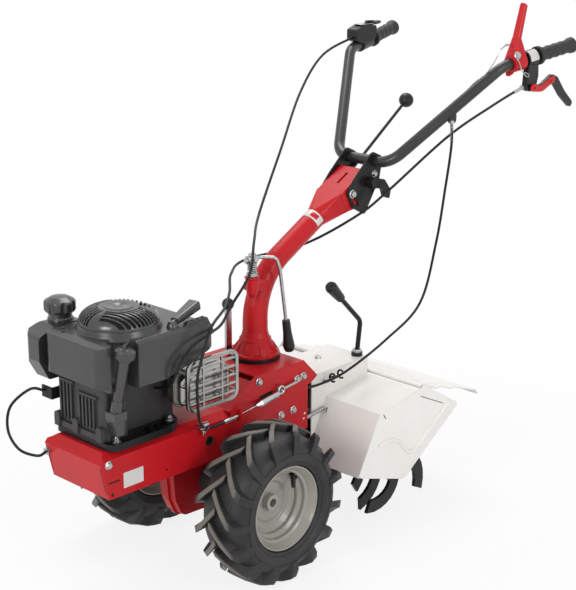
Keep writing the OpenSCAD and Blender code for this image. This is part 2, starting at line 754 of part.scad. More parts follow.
module oil_filler() place() color(black) union() {
  translate([0, block_left, 0])
    box(filler_foot[0] - 15, filler_foot[0] + 15, 0, 30, deck_z + 62, deck_z + 80);
  side(block_left, block_left + 26) polygon([
    [filler_foot[0] - 10, deck_z + 32], [filler_foot[0] + 8, deck_z + 32],
    [filler_foot[0] + 13, deck_z + 63], [filler_foot[0] - 13, deck_z + 63]]);
  aim(filler_from - 6 * filler_dir, filler_dir) cylinder(d = 25, h = 28);
  aim(filler_from, filler_dir) cylinder(d1 = 20, d2 = 24, h = filler_l);
  aim(filler_from + (filler_l - 4) * filler_dir, filler_dir) union() {
    rotate_extrude() polygon([
      [0, 0], [15, 0], [15, 6], [filler_cap_d / 2, 6], [filler_cap_d / 2, 20], [13, 25], [0, 26]]);
    rotate([0, 0, 35]) translate([-3, -13, 22]) cube([6, 26, 12]);
  }
}

// Silencer and its guard
silencer_x = 25;
silencer_y = 62;
silencer_out = 112;
silencer_low = deck_z + 50;
silencer_high = deck_z + 116;
guard_rise = 34;
guard_y = silencer_out + 8;
guard_t = 6;
guard_frame = 7;
guard_r = 20;
guard_bars = 6;
guard_bar_t = 4;
guard_low = silencer_low - 6;
guard_high = silencer_high + guard_rise;
guard_x0 = silencer_x - 4;
guard_x1 = silencer_x + silencer_l + 4;
guard_return = 16;
bead_z = [silencer_low + 22, silencer_high - 22];

module silencer() place() color(steel) union() {
  intersection() {
    side(silencer_y, silencer_out) polygon(rounded([
      [silencer_x, silencer_low, 16], [silencer_x + silencer_l, silencer_low, 16],
      [silencer_x + silencer_l, silencer_high, 16], [silencer_x, silencer_high, 16]]));
    translate([0, 0, silencer_low - 1]) linear_extrude(silencer_high - silencer_low + 2) polygon(rounded([
      [silencer_x - 1, silencer_y, 0], [silencer_x + silencer_l + 1, silencer_y, 0],
      [silencer_x + silencer_l + 1, silencer_out - 2, 16],
      [silencer_x + silencer_l / 2, silencer_out + 2, 90],
      [silencer_x - 1, silencer_out - 2, 16]]));
  }
  side(silencer_y + 20, silencer_y + 24) polygon(rounded([
    [silencer_x - 5, silencer_low - 5, 18], [silencer_x + silencer_l + 5, silencer_low - 5, 18],
    [silencer_x + silencer_l + 5, silencer_high + 5, 18], [silencer_x - 5, silencer_high + 5, 18]]));
  box(76, 112, barrel_y, silencer_y, deck_z + 72, deck_z + 100);
}

function guard_outline(d) = rounded([
  [guard_x0 + d, guard_low + d, guard_r - d], [guard_x1 - d, guard_low + d, guard_r - d],
  [guard_x1 - d, guard_high - d, guard_r - d], [guard_x0 + d, guard_high - d, guard_r - d]]);
function guard_bar_z(k) = guard_low + (guard_high - guard_low) * k / guard_bars;

module silencer_guard() place() color(steel) union() {
  difference() {
    side(guard_y, guard_y + guard_t) polygon(guard_outline(0));
    side(guard_y - 1, guard_y + guard_t + 1) polygon(guard_outline(guard_frame));
  }
  for (k = [1 : guard_bars - 1])
    box(guard_x0 + 3, guard_x1 - 3, guard_y + 1, guard_y + guard_t - 1,
      guard_bar_z(k) - guard_bar_t / 2, guard_bar_z(k) + guard_bar_t / 2);
  for (x = [guard_x0 + 44, guard_x1 - 44])
    box(x - guard_bar_t / 2, x + guard_bar_t / 2, guard_y + 1.5, guard_y + guard_t - 0.5,
      guard_low + 3, guard_high - 3);
  for (x = [guard_x0 + 1, guard_x1 - 1 - guard_bar_t]) for (k = [1 : 2 : guard_bars - 1])
    box(x, x + guard_bar_t, guard_y - guard_return, guard_y + 2,
      guard_bar_z(k) - 1.6, guard_bar_z(k) + 1.6);
  for (x = [guard_x0 + 44, guard_x1 - 44]) for (z = [silencer_low + 16, silencer_high - 16])
    across(x, z, 8, silencer_out, guard_y + 2);
}

tab_x = block_front + 10;

module throttle_bracket() place() color(steel) union() {
  box(block_front - 22, tab_x + 4, -block_right - 3, -block_right, deck_z + 68, deck_z + 92);
  box(tab_x, tab_x + 4, -block_right - 32, -block_right, deck_z + 68, deck_z + 92);
}

front_boss = [front_x(deck_z - 34), -80, deck_z - 34];
boss_dir = [cos(front_angle), 0, -sin(front_angle)];

module front_boss_nut() place() color(steel)
  translate(front_boss) rotate([0, 90 + front_angle, 0]) cylinder(d = 16, h = 8, $fn = 24);

// Drive inside the chassis
crank_pulley_d = 72;
case_pulley_d = 116;
pulley_h = 20;
pulley_z = floor_z + 58;
input_x = 18;

module crank_pulley() place() color(steel)
  translate([crank_x, 0, pulley_z]) union() {
    cylinder(d = crank_pulley_d, h = pulley_h);
    cylinder(d = 25, h = deck_z - pulley_z);
  }

module case_pulley() place() color(steel)
  translate([input_x, 0, floor_z + 40]) union() {
    translate([0, 0, pulley_z - floor_z - 40]) cylinder(d = case_pulley_d, h = pulley_h);
    cylinder(d = 25, h = pulley_z - floor_z - 40);
  }

// Swivel ring and column
ring_h = 8;
king_d = 36;
king_h = 34;
foot_z = saddle_z + ring_h + slide;
flange_d = ring_d - 4;

module swivel_ring() place() color(black) translate([-swivel_x, 0, saddle_z]) union() {
  cylinder(d = ring_d, h = ring_h);
  cylinder(d = king_d, h = king_h);
}

lean = 60;
bend_x = -swivel_x - column_bend;
bend_z = saddle_z + column_rise;
axis_dir = [-sin(lean), cos(lean)];
bend_end = [bend_x + column_bend * cos(lean), bend_z + column_bend * sin(lean)];
column_end = bend_end + column_run * axis_dir;
column_steps = 14;
column_path = concat(
  [[-swivel_x, 0, saddle_z + 46]],
  [for (k = [0 : column_steps]) let (a = lean * k / column_steps)
    [bend_x + column_bend * cos(a), 0, bend_z + column_bend * sin(a)]],
  [[column_end[0], 0, column_end[1]]]
);
column_dias = [for (i = [0 : column_steps + 2])
  column_d + (column_top_d - column_d) * i / (column_steps + 2)];
boss = [-117, 25];
boss_z = saddle_z + 153;
boss_h = 38;
boss_lip = 4;
skirt_rib = 12;
skirt_ribs = 8;

module column() place() color(red) union() {
  translate([-swivel_x, 0, 0]) rotate_extrude() polygon([
    [king_d / 2 + run, foot_z], [flange_d / 2, foot_z], [flange_d / 2, foot_z + 6],
    [flange_d / 2 - 7, foot_z + 9], [column_d / 2 + 13, foot_z + 18], [column_d / 2 + 7, foot_z + 30],
    [column_d / 2 + 7, foot_z + 36], [column_d / 2 + 3, foot_z + 40], [column_d / 2, foot_z + 52],
    [0, foot_z + 52], [0, saddle_z + king_h + 2], [king_d / 2 + run, saddle_z + king_h + 2]]);
  for (k = [0 : skirt_ribs - 1])
    translate([-swivel_x, 0, foot_z]) rotate([0, 0, 360 * (k + 0.5) / skirt_ribs])
    rotate([90, 0, 0]) translate([0, 0, -skirt_rib / 2]) linear_extrude(skirt_rib) polygon([
      [column_d / 2 - 2, 4], [flange_d / 2 - 2, 4], [flange_d / 2 - 3, 9],
      [column_d / 2 + 15, 20], [column_d / 2 + 5, 33], [column_d / 2 - 2, 33]]);
  sweep(column_path, column_dias, 28);
  translate([boss[0], boss[1], boss_z]) rotate_extrude() polygon([
    [0, -8], [7, -8], [12, 2], [14, boss_h - boss_lip - 2],
    [16, boss_h - boss_lip], [16, boss_h], [0, boss_h]]);
  box(boss[0] - 42, boss[0], 0, boss[1] + 6, boss_z + 4, boss_z + 22);
}

// Column head
end_top = column_end + 22 * [axis_dir[1], -axis_dir[0]];
end_low = column_end - 22 * [axis_dir[1], -axis_dir[0]];
pin_d = 12;
pin_out = 10;
guide = bar_pivot + [55, -18];
guide_d = 8;
head_start = 58;
head_outline = [
  end_top + head_start * axis_dir, end_top + 150 * axis_dir, bar_pivot + [0, 14], bar_pivot + [-11, 4],
  bar_pivot + [-11, -6], bar_pivot + [20, -52], bar_pivot + [74, -58], end_low + head_start * axis_dir
];

// The head flares from the round column to its side walls, and has a slot on top
head_joint = column_end + 62 * axis_dir;
joint_h = 36;
slot_from = column_end + 92 * axis_dir;
head_slot = [38, 6];

module head_flare() {
  hull() {
    translate([column_end[0], 0, column_end[1]]) rotate([0, -lean, 0])
      cylinder(d = column_top_d + 1, h = 1, $fn = 32);
    side(-head_y, head_y) polygon([
      head_joint + joint_h / 2 * [axis_dir[1], -axis_dir[0]] * 1.3,
      head_joint - joint_h / 2 * [axis_dir[1], -axis_dir[0]] * 1.5,
      head_joint - joint_h / 2 * [axis_dir[1], -axis_dir[0]] * 1.4 + 2 * axis_dir,
      head_joint + joint_h / 2 * [axis_dir[1], -axis_dir[0]] * 1.3 + 2 * axis_dir]);
  }
}

module column_head() place() color(red) union() {
  difference() {
    side(-head_y, head_y) polygon(head_outline);
    translate([slot_from[0], 0, slot_from[1]]) rotate([0, -lean, 0])
      translate([0, -head_slot[1] / 2, 0]) cube([60, head_slot[1], head_slot[0]]);
  }
  head_flare();
  across(bar_pivot[0], bar_pivot[1], pin_d, -head_y - pin_out, head_y + pin_out);
  across(guide[0], guide[1], guide_d, -head_y - pin_out, head_y + pin_out);
}

// Lock of the swivel
plunger_h = 38;
clevis_z = boss_z + boss_h + plunger_h;

module lock_plunger() place() color(steel) union() {
  translate([boss[0], boss[1], boss_z + boss_h]) cylinder(d = 14, h = plunger_h + 4);
  box(boss[0] - 10, boss[0] + 12, boss[1] - 8, boss[1] + 8, clevis_z - 8, clevis_z + 6);
}

lever_end = [-193, 50, saddle_z + 84];
lever_dir = unit([-11, 0, -71]);

module lock_lever() place() color(steel) bent([
    [boss[0] - 10, boss[1], clevis_z - 1], [boss[0] - 26, boss[1], clevis_z - 1],
    [boss[0] - 46, 50, clevis_z - 1], lever_end - 116 * lever_dir, lever_end], 8, 10);

module lock_grip() place() color(black)
  aim(lever_end, lever_dir) rotate_extrude() polygon(rounded([
    [0, 0, 0], [8.5, 0, 1], [9, 8, 6], [9.5, 30, 30], [13, 62, 12], [10, 73, 6], [0, 75, 0]]));

shift_foot = [-129, -62];
shift_bar = [16, 6];
shift_h = 100;
shift_ball = 25;

module shift_lever() place() color(steel) translate([shift_foot[0], shift_foot[1], saddle_z]) union() {
  box(-shift_bar[0] / 2, shift_bar[0] / 2, -shift_bar[1] / 2, shift_bar[1] / 2, 0, shift_h);
  box(-shift_bar[0] / 2 - 2, shift_bar[0] / 2 + 2, -shift_bar[1] / 2 - 2, shift_bar[1] / 2 + 2, 0, 6);
  translate([0, 0, shift_h + shift_ball / 2 - 3]) sphere(d = shift_ball);
}

// Clamp plates and handlebar
plate_in = head_y + slide;
plate_t = 4;
cross_tube = bar_pivot + [-26, 43];
slot_r = norm(guide - bar_pivot);
slot_a = atan2(guide[1] - bar_pivot[1], guide[0] - bar_pivot[0]);
slot_w = guide_d + 1;
plate_outline = [
  [bar_pivot[0] + 72, bar_pivot[1] - 13, 8], [bar_pivot[0] + 45, bar_pivot[1] + 16, 10],
  [bar_pivot[0] - 12, bar_pivot[1] + 68, 12], [bar_pivot[0] - 46, bar_pivot[1] + 52, 10],
  [bar_pivot[0] - 36, bar_pivot[1] + 4, 8], [bar_pivot[0] + 12, bar_pivot[1] - 72, 8],
  [bar_pivot[0] + 53, bar_pivot[1] - 50, 10]
];

module slot_cut() {
  translate([bar_pivot[0], 0, bar_pivot[1]]) rotate([90, 0, 0])
    rotate([0, 0, slot_a - bar_travel - 1]) rotate_extrude(angle = bar_travel + 2)
      translate([slot_r - slot_w / 2, -60]) square([slot_w, 120]);
  for (a = [slot_a - bar_travel - 1, slot_a + 1])
    across(bar_pivot[0] + slot_r * cos(a), bar_pivot[1] + slot_r * sin(a), slot_w, -60, 60);
}

module clamp_plates() place() color(black) difference() {
  both() side(plate_in, plate_in + plate_t) polygon(rounded(plate_outline));
  across(bar_pivot[0], bar_pivot[1], pin_d + 2 * run, -60, 60);
  across(cross_tube[0], cross_tube[1], bar_d + 2 * fit, -60, 60);
  slot_cut();
}

handle_y = head_y + pin_out;

// Curved handle on the pivot, thick at its hub and hooked at its end
module clamp_handle() place() color(black) union() {
  across(bar_pivot[0], bar_pivot[1], 24, handle_y, handle_y + 14);
  side(handle_y + 3, handle_y + 15) polygon(rounded([
    [bar_pivot[0] + 10, bar_pivot[1] - 8, 4], [bar_pivot[0] + 6, bar_pivot[1] + 11, 6],
    [bar_pivot[0] - 30, bar_pivot[1] + 6, 14], [bar_pivot[0] - 52, bar_pivot[1] - 22, 8],
    [bar_pivot[0] - 48, bar_pivot[1] - 42, 5], [bar_pivot[0] - 34, bar_pivot[1] - 36, 5],
    [bar_pivot[0] - 26, bar_pivot[1] - 16, 10]]));
}

grip_end = [-rear_reach, bar_w / 2, grip_z];
upper_bend = [bar_pivot[0] - 229, bar_w / 2 - 40, grip_z - 33];
lower_bend = [cross_tube[0], 76, cross_tube[1]];
bar_dir = unit(grip_end - upper_bend);
bar_path = [
  grip_end, upper_bend, lower_bend,
  [lower_bend[0], -lower_bend[1], lower_bend[2]],
  [upper_bend[0], -upper_bend[1], upper_bend[2]],
  [grip_end[0], -grip_end[1], grip_end[2]]
];

module handlebar() place() color(grey) bent(bar_path, bar_d, 55, 24, 10);

waves = 4;
wave_h = 1.6;
grip_wave = [for (k = [0 : 8 * waves])
  [grip_d / 2 - wave_h * (0.5 - 0.5 * cos(45 * k)), 16 + (grip_l - 32) * k / (8 * waves)]];

module grip() {
  aim(grip_end + 6 * bar_dir, -bar_dir) difference() {
    rotate_extrude() polygon(concat(
      [[0, 0], [grip_d / 2 - 3, 0], [grip_d / 2 + 2, 3], [grip_d / 2 + 2, 10], [grip_d / 2, 14]],
      grip_wave,
      [[grip_d / 2 + 1, grip_l - 12], [grip_d / 2 + 5, grip_l - 8],
       [grip_d / 2 + 5, grip_l], [0, grip_l]]));
    translate([0, 0, 6]) cylinder(d = bar_d + 2 * fit, h = grip_l + 10);
  }
}

module left_grip() place() color(black) grip();
module right_grip() place() color(black) mirror([0, 1, 0]) grip();

// A collar round the straight of the left arm, a distance s from the grip end
module collar(s, l, d) {
  aim(grip_end - s * bar_dir, -bar_dir) cylinder(d = d, h = l);
}

module bar_bore() {
  aim(grip_end + 20 * bar_dir, -bar_dir) cylinder(d = bar_d + 2 * fit, h = 240);
}

lever_pivot = grip_end - 124 * bar_dir + [2, 4, -62];
lever_half = 7;

module clutch_bracket() place() color(black) difference() {
  union() {
    collar(112, 30, bar_d + 12);
    side(lever_pivot[1] - lever_half, lever_pivot[1] + lever_half) polygon(rounded([
      [lever_pivot[0] + 16, lever_pivot[2] + 58, 3], [lever_pivot[0] - 18, lever_pivot[2] + 54, 3],
      [lever_pivot[0] - 20, lever_pivot[2] + 22, 8], [lever_pivot[0] - 12, lever_pivot[2] - 6, 8],
      [lever_pivot[0] + 14, lever_pivot[2] - 12, 8], [lever_pivot[0] + 22, lever_pivot[2] + 4, 6]]));
  }
  bar_bore();
}

// Curved link and blade of the clutch lever
module clutch_lever() place() color(black) side(
    lever_pivot[1] + lever_half, lever_pivot[1] + lever_half + 8) polygon(rounded([
  [lever_pivot[0] + 12, lever_pivot[2] + 6, 7], [lever_pivot[0] - 22, lever_pivot[2] + 2, 20],
  [lever_pivot[0] - 62, lever_pivot[2] + 22, 16], [lever_pivot[0] - 84, lever_pivot[2] + 14, 14],
  [lever_pivot[0] - 116, lever_pivot[2] - 22, 40], [lever_pivot[0] - 152, lever_pivot[2] - 52, 7],
  [lever_pivot[0] - 140, lever_pivot[2] - 62, 7], [lever_pivot[0] - 100, lever_pivot[2] - 32, 40],
  [lever_pivot[0] - 68, lever_pivot[2] + 2, 14], [lever_pivot[0] - 24, lever_pivot[2] - 14, 20],
  [lever_pivot[0] + 12, lever_pivot[2] - 9, 7]]));

reverse_foot = grip_end - 172 * bar_dir;

lever_tip = reverse_foot + [-24, 0, 128];
lever_neck = reverse_foot + [-4, 0, 54];
hood_l = 34;

// Moulded hood over the tube that narrows into a round lever
module reverse_lever() place() color(red) difference() {
  union() {
    hull() {
      aim(reverse_foot + 21 * bar_dir, -bar_dir) cylinder(d = bar_d + 15, h = hood_l, $fn = 32);
      translate(lever_neck) rotate([0, -10, 0]) cylinder(d = 20, h = 1, $fn = 32);
    }
    hull() {
      translate(lever_neck - [0, 0, 2]) rotate([0, -10, 0]) cylinder(d = 20, h = 1, $fn = 32);
      translate(lever_tip - [0, 0, 8]) rotate([0, -15, 0]) cylinder(d = 17, h = 4, $fn = 32);
      translate(lever_tip - [-1, 0, 2]) rotate([0, -15, 0]) cylinder(d = 11, h = 2, $fn = 32);
    }
    side(reverse_foot[1] - 16, reverse_foot[1] - 10) polygon(rounded([
      [reverse_foot[0] + 14, reverse_foot[2], 4], [reverse_foot[0] - 16, reverse_foot[2], 4],
      [reverse_foot[0] - 12, reverse_foot[2] - 26, 5], [reverse_foot[0] + 8, reverse_foot[2] - 32, 5]]));
  }
  bar_bore();
}

throttle_front = upper_bend[0] - 11;

// Throttle control: clamp, wedge-shaped box and its small lever
module throttle_control() place() color(black) mirror([0, 1, 0]) difference() {
  union() {
    collar(120, 48, bar_d + 10);
    side(grip_end[1] - 50, grip_end[1] - 18) polygon(rounded([
      [throttle_front, grip_end[2] - 14, 0], [throttle_front, grip_end[2] + 12, 7],
      [throttle_front - 30, grip_end[2] + 22, 8], [grip_end[0] + 118, grip_end[2] + 18, 5],
      [grip_end[0] + 118, grip_end[2] - 12, 0], [grip_end[0] + 168, grip_end[2] - 22, 0]]));
    side(grip_end[1] - 36, grip_end[1] - 30) polygon(rounded([
      [grip_end[0] + 150, grip_end[2] + 16, 2], [grip_end[0] + 136, grip_end[2] + 30, 3],
      [grip_end[0] + 104, grip_end[2] + 28, 3], [grip_end[0] + 122, grip_end[2] + 12, 2]]));
  }
  bar_bore();
}

// Gear selector on the inner face of the right plate
selector_foot = [bar_pivot[0] - 24, -plate_in, bar_pivot[1] + 16];
selector_ball = [bar_pivot[0] - 210, -plate_in + 5, bar_pivot[1] + 152];

module selector_rod() place() color(black) union() {
  across(selector_foot[0], selector_foot[2], 16, -plate_in, -plate_in + 9);
  rod(selector_foot + [0, 5, 0], selector_ball, 7);
}

module selector_knob() place() color(black) translate(selector_ball) difference() {
  sphere(d = 34);
  aim([0, 0, 0], selector_foot + [0, 5, 0] - selector_ball)
    translate([0, 0, -1]) cylinder(d = 7 + 2 * fit, h = 30);
}

// Tiller
tip_angle = 15;
rotor_r = rotor_d / 2;
rotor_z = rotor_r * cos(tip_angle);
hub_z = floor_z + 62;
neck_d = 82;
neck_end = -262;
cover_z = floor_z + 95;
rotor_shaft_d = 28;
tiller_case_y = 28;
case_r = 44;

module tiller_neck() place() color(grey)
  translate([neck_end, 0, hub_z]) rotate([0, 90, 0]) cylinder(d = neck_d, h = -neck_end - chassis_rear);

module tiller_case() place() color(grey) difference() {
  side(-tiller_case_y, tiller_case_y) polygon(rounded([
    [neck_end, cover_z - hood_t, 0], [neck_end, hub_z - 40, 10],
    [-rotor_x + case_r, rotor_z + 66, 20], [-rotor_x + case_r, rotor_z - case_r, 40],
    [-rotor_x - case_r, rotor_z - case_r, 40], [-rotor_x - case_r, rotor_z + 80, 20],
    [-430, cover_z - hood_t, 0]]));
  across(-rotor_x, rotor_z, rotor_shaft_d + 2 * run, -60, 60);
}

// Hood outline, measured from the rotor axis
hood_a = [89 - rotor_x, rotor_z + 145];
hood_b = [-50 - rotor_x, rotor_z + 164];
hood_c = [-186 - rotor_x, rotor_z + 98];
hood_d = [3 - rotor_x, rotor_z - 32];
hood_e = [158 - rotor_x, rotor_z + 17];
hinge = [hood_b[0] - 10, hood_b[1] + 4];
hood_y = hood_w / 2;
cover_back = hood_b[0] + 2;

roll_d = 8;

module tiller_hood() place() color(white) difference() {
  union() {
    both() rod([hood_c[0] + 6, hood_y - roll_d / 2 + 1, hood_c[1] - 2],
      [hood_d[0] + 12, hood_y - roll_d / 2 + 1, hood_d[1] + 12], roll_d);
    side(-hood_y, hood_y) polygon(band([hood_e, hood_a, hood_b], hood_t));
    both() side(hood_y - hood_t, hood_y) polygon(rounded([
      [hood_a[0], hood_a[1], 6], [hood_b[0], hood_b[1] + 2, 20], [hinge[0] - 2, hinge[1] + 12, 8],
      [hinge[0] - 14, hinge[1] - 4, 8], [hood_c[0], hood_c[1], 8],
      [hood_d[0], hood_d[1], 24], [hood_e[0], hood_e[1], 10]]));
  }
  box(hood_b[0] - 20, hood_e[0] + 20, -cover_y, cover_y, 0, saddle_z);
}

module tiller_cover() place() color(white) union() {
  box(cover_back, neck_end, -cover_y, cover_y, cover_z - hood_t, cover_z);
  both() difference() {
    side(cover_y - hood_t, cover_y) polygon([
      [neck_end, cover_z], [cover_back, cover_z], [cover_back, hood_b[1] - 20],
      [hood_a[0], hood_a[1] - 30], [neck_end, hood_e[1] + 40]]);
  }
  box(cover_back, cover_back + hood_t, -cover_y, cover_y, hood_b[1] + 6, cover_z);
}

hinge_d = 6;
flap_dir = unit([-0.944, -0.33]);
flap_y = hood_y - hood_t - 3.5;

flap_fold = 4;
flap_steps = [0, 58, 66, 112, 120, flap_l];
flap_side = [flap_dir[1], -flap_dir[0]];
// The flap steps up twice towards its turned-down edge
flap_line = concat(
  [for (i = [0 : 5]) hinge + [0, 2] + flap_steps[i] * flap_dir + floor(i / 2) * flap_fold * flap_side],
  [hinge + [0, -6] + (flap_l + 8) * flap_dir + 2 * flap_fold * flap_side]
);

module flap_rod() place() color(steel)
  across(hinge[0], hinge[1], hinge_d, hood_t - hood_y, hood_y - hood_t);

module tiller_flap() place() color(white) difference() {
  union() {
    across(hinge[0], hinge[1], hinge_d + 5, -flap_y, flap_y);
    side(-flap_y, flap_y) polygon(band(flap_line, hood_t));
  }
  across(hinge[0], hinge[1], hinge_d + 2 * run, -hood_w, hood_w);
}

// Rotor with sickle tines
tine_t = 8;
tine_steps = 8;
tine_root = 32;
tine_sweep = 46;
tine_wide = 15;
tine_narrow = 10;
flange_first = tiller_case_y + 18;
flange_last = hood_y - 32;
flange_list = [flange_first, (flange_first + flange_last) / 2, flange_last];
flange_t = 12;
flange_plate_d = 88;
function tine_mid(t) = (tine_root + (100 - tine_root) * t)
  * [cos(tine_sweep * pow(t, 1.6)), sin(tine_sweep * pow(t, 1.6))];
function tine_edge(t, s) = let (d = unit(tine_mid(t + 0.02) - tine_mid(t)))
  tine_mid(t) + s * (tine_wide + (tine_narrow - tine_wide) * t) * [d[1], -d[0]];
tine_raw = concat(
  [for (k = [0 : tine_steps]) tine_edge(k / tine_steps, 1)],
  [for (k = [tine_steps : -1 : 0]) tine_edge(k / tine_steps, -1)]
);
tine_reach = max([for (p = tine_raw) norm(p)]);
tine_far = [for (p = tine_raw) if (norm(p) > tine_reach - 0.001) atan2(p[1], p[0])][0];
// The blade keeps its root and is drawn out until its tip meets the rotor size
function draw_out(p) = p * (1 + (rotor_r / tine_reach - 1)
  * (norm(p) - tine_root) / (tine_reach - tine_root));
tine_outline = [for (p = tine_raw) draw_out(p)];

module tine_set(y, turn) {
  translate([-rotor_x, y + tine_t / 2, rotor_z]) rotate([90, 0, 0])
    for (k = [0 : 3]) rotate([0, 0, turn + 90 * k - tine_far]) linear_extrude(tine_t) polygon(tine_outline);
  across(-rotor_x, rotor_z, flange_plate_d, y - flange_t / 2, y + flange_t / 2);
}

rotor_end = flange_list[2] + 12;

module tiller_rotor() place() color(black) union() {
  across(-rotor_x, rotor_z, rotor_shaft_d, -rotor_end, rotor_end);
  both() across(-rotor_x, rotor_z, rotor_shaft_d + 14, tiller_case_y + 4, rotor_end - 4);
  for (i = [0 : 2]) both() tine_set(flange_list[i], 270 - tip_angle + 30 * i);
}

tiller_lever_foot = [-438, 38];

module tiller_lever() place() color(steel) union() {
  translate([tiller_lever_foot[0], tiller_lever_foot[1], cover_z]) cylinder(d = 26, h = 8);
  bent([[tiller_lever_foot[0], tiller_lever_foot[1], cover_z + 4],
    [tiller_lever_foot[0] - 10, tiller_lever_foot[1], cover_z + 80],
    [tiller_lever_foot[0] + 56, tiller_lever_foot[1], cover_z + 146]], 11, 20);
}

tiller_grip_at = [tiller_lever_foot[0] + 56, tiller_lever_foot[1], cover_z + 146];

module tiller_lever_grip() place() color(black)
  aim(tiller_grip_at, [66, 0, 66]) rotate_extrude() polygon(rounded([
    [0, 0, 0], [10, 0, 2], [11, 10, 10], [14, 48, 6], [11, 55, 4], [0, 56, 0]]));

strut_y = chassis_y - 20;
strut_z = floor_z + 4;
panel_dir = unit(hood_e - hood_a);
panel_out = [-panel_dir[1], panel_dir[0]];
strut_end = hood_a + 26 * panel_dir + 1.8 * panel_out;

module tiller_strut() place() color(steel) union() {
  translate([-chassis_rear - 6, strut_y, strut_z]) rotate([0, 90, 0]) cylinder(d = 16, h = 6);
  rod([-chassis_rear - 2, strut_y, strut_z], [strut_end[0], strut_y, strut_end[1]], 9);
}

// Control cables
cable_d = 6;
throttle_route = [
  [upper_bend[0] - 10, -upper_bend[1] - 4, upper_bend[2] + 26],
  [-600, -228, grip_z - 40], [-500, -204, saddle_z + 512], [-360, -130, saddle_z + 406],
  [-214, -52, saddle_z + 296], [-140, 20, saddle_z + 266], [-80, 66, saddle_z + 216],
  [-12, 72, saddle_z + 160], [32, 90, saddle_z + 136], [77, 108, saddle_z + 132],
  [128, 112, saddle_z + 119], [162, 116, saddle_z + 97], [178, 114, saddle_z + 70],
  [180, 98, saddle_z + 44], [175, barrel_y + 1.7, saddle_z + 26]
];
clutch_route = [
  lever_pivot + [26, -12, -6], [-690, 206, grip_z - 120], [-600, 152, saddle_z + 440],
  [-488, 75, saddle_z + 321], [-417, 52, saddle_z + 276], [-350, -44, saddle_z + 206],
  [-180, -58, saddle_z + 190],
  [-90, -10, saddle_z + 190], [-30, 50, saddle_z + 188], [22, 90, saddle_z + 176],
  [89, 122, saddle_z + 150], [122, 133, saddle_z + 106], [140, 135, saddle_z + 60],
  [143, 138, saddle_z - 4], [121, 120, saddle_z - 46], [94, 101, saddle_z - 66],
  [58, 95, saddle_z - 76], [20, chassis_y + 3.6, saddle_z - 74.5], [-8, chassis_y + 3.4, saddle_z - 72]
];
reverse_route = [
  [-599, 163, saddle_z + 472], [-598, 165, saddle_z + 420], [-608, 144, saddle_z + 320],
  [-612, 120, saddle_z + 190], [-580, 104, saddle_z + 50], [-470, 98, saddle_z - 14],
  [-335, 96, saddle_z - 58], [-262, 84, saddle_z - 72],
  [-chassis_rear - 1, 72, saddle_z - 74]
];
front_route = [
  [tab_x + 6, -104, deck_z + 82], [tab_x + 24, -124, deck_z + 84], [tab_x + 50, -156, deck_z + 46],
  [tab_x + 56, -160, deck_z - 4], [tab_x + 54, -128, deck_z - 36],
  front_boss + 27 * boss_dir - [0, 4, 0], front_boss + 9 * boss_dir
];

module throttle_cable() place() color(black) sweep(smooth(throttle_route, 5), cable_d, 8);
module clutch_cable() place() color(black) sweep(smooth(clutch_route, 5), cable_d, 8);
module reverse_cable() place() color(black) sweep(smooth(reverse_route, 5), cable_d, 8);
module front_cable() place() color(black) sweep(smooth(front_route, 5), cable_d, 8);

chassis();
side_plates();
saddle();
gear_case();
axle_housings();
left_tyre();
right_tyre();
left_rim();
right_rim();
left_shaft();
right_shaft();
engine_base();
crankcase();
cylinder_barrel();
blower_housing();
starter_dome();
starter_grip();
fuel_tank();
fuel_cap();
oil_filler();
silencer();
silencer_guard();
throttle_bracket();
front_boss_nut();
crank_pulley();
case_pulley();
swivel_ring();
column();
column_head();
lock_plunger();
lock_lever();
lock_grip();
shift_lever();
clamp_plates();
clamp_handle();
handlebar();
left_grip();
right_grip();
clutch_bracket();
clutch_lever();
reverse_lever();
throttle_control();
selector_rod();
selector_knob();
tiller_neck();
tiller_case();
tiller_hood();
tiller_cover();
flap_rod();
tiller_flap();
tiller_rotor();
tiller_lever();
tiller_lever_grip();
tiller_strut();
throttle_cable();
clutch_cable();
reverse_cable();
front_cable();
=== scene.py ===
import json
import math

import bmesh
import bpy
import numpy as np
from mathutils import Matrix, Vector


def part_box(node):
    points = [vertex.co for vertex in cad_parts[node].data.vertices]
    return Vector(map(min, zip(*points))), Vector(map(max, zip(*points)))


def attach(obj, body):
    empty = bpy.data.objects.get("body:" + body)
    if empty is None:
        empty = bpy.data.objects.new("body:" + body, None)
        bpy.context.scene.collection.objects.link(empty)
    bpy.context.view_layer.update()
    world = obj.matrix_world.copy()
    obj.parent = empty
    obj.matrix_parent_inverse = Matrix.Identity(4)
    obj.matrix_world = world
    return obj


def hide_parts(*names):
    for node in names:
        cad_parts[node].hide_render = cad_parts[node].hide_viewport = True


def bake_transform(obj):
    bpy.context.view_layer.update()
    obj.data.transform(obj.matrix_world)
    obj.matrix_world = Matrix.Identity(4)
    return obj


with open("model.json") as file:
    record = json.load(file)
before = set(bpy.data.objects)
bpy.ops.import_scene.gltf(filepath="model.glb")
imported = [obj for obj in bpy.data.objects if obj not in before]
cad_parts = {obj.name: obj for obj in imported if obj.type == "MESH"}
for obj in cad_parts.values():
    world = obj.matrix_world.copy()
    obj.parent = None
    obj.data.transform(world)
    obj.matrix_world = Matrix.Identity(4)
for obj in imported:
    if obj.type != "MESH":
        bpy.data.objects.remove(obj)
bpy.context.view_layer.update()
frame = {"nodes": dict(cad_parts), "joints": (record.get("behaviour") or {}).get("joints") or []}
nodes = frame["nodes"]
jointAt = {joint["name"]: np.array(joint["pos_m"]) for joint in frame["joints"]}
axle = jointAt["left_wheel_spin"]
print("frame loaded with", len(nodes), "nodes")


# millimetres measured from above the axle, as metres in the shared frame
def at(points):
    return np.array(points, float) / 1000 + np.array([axle[0], 0, 0])


# a direction over its own length
def unit(v):
    return v / np.linalg.norm(v, axis=-1, keepdims=True)


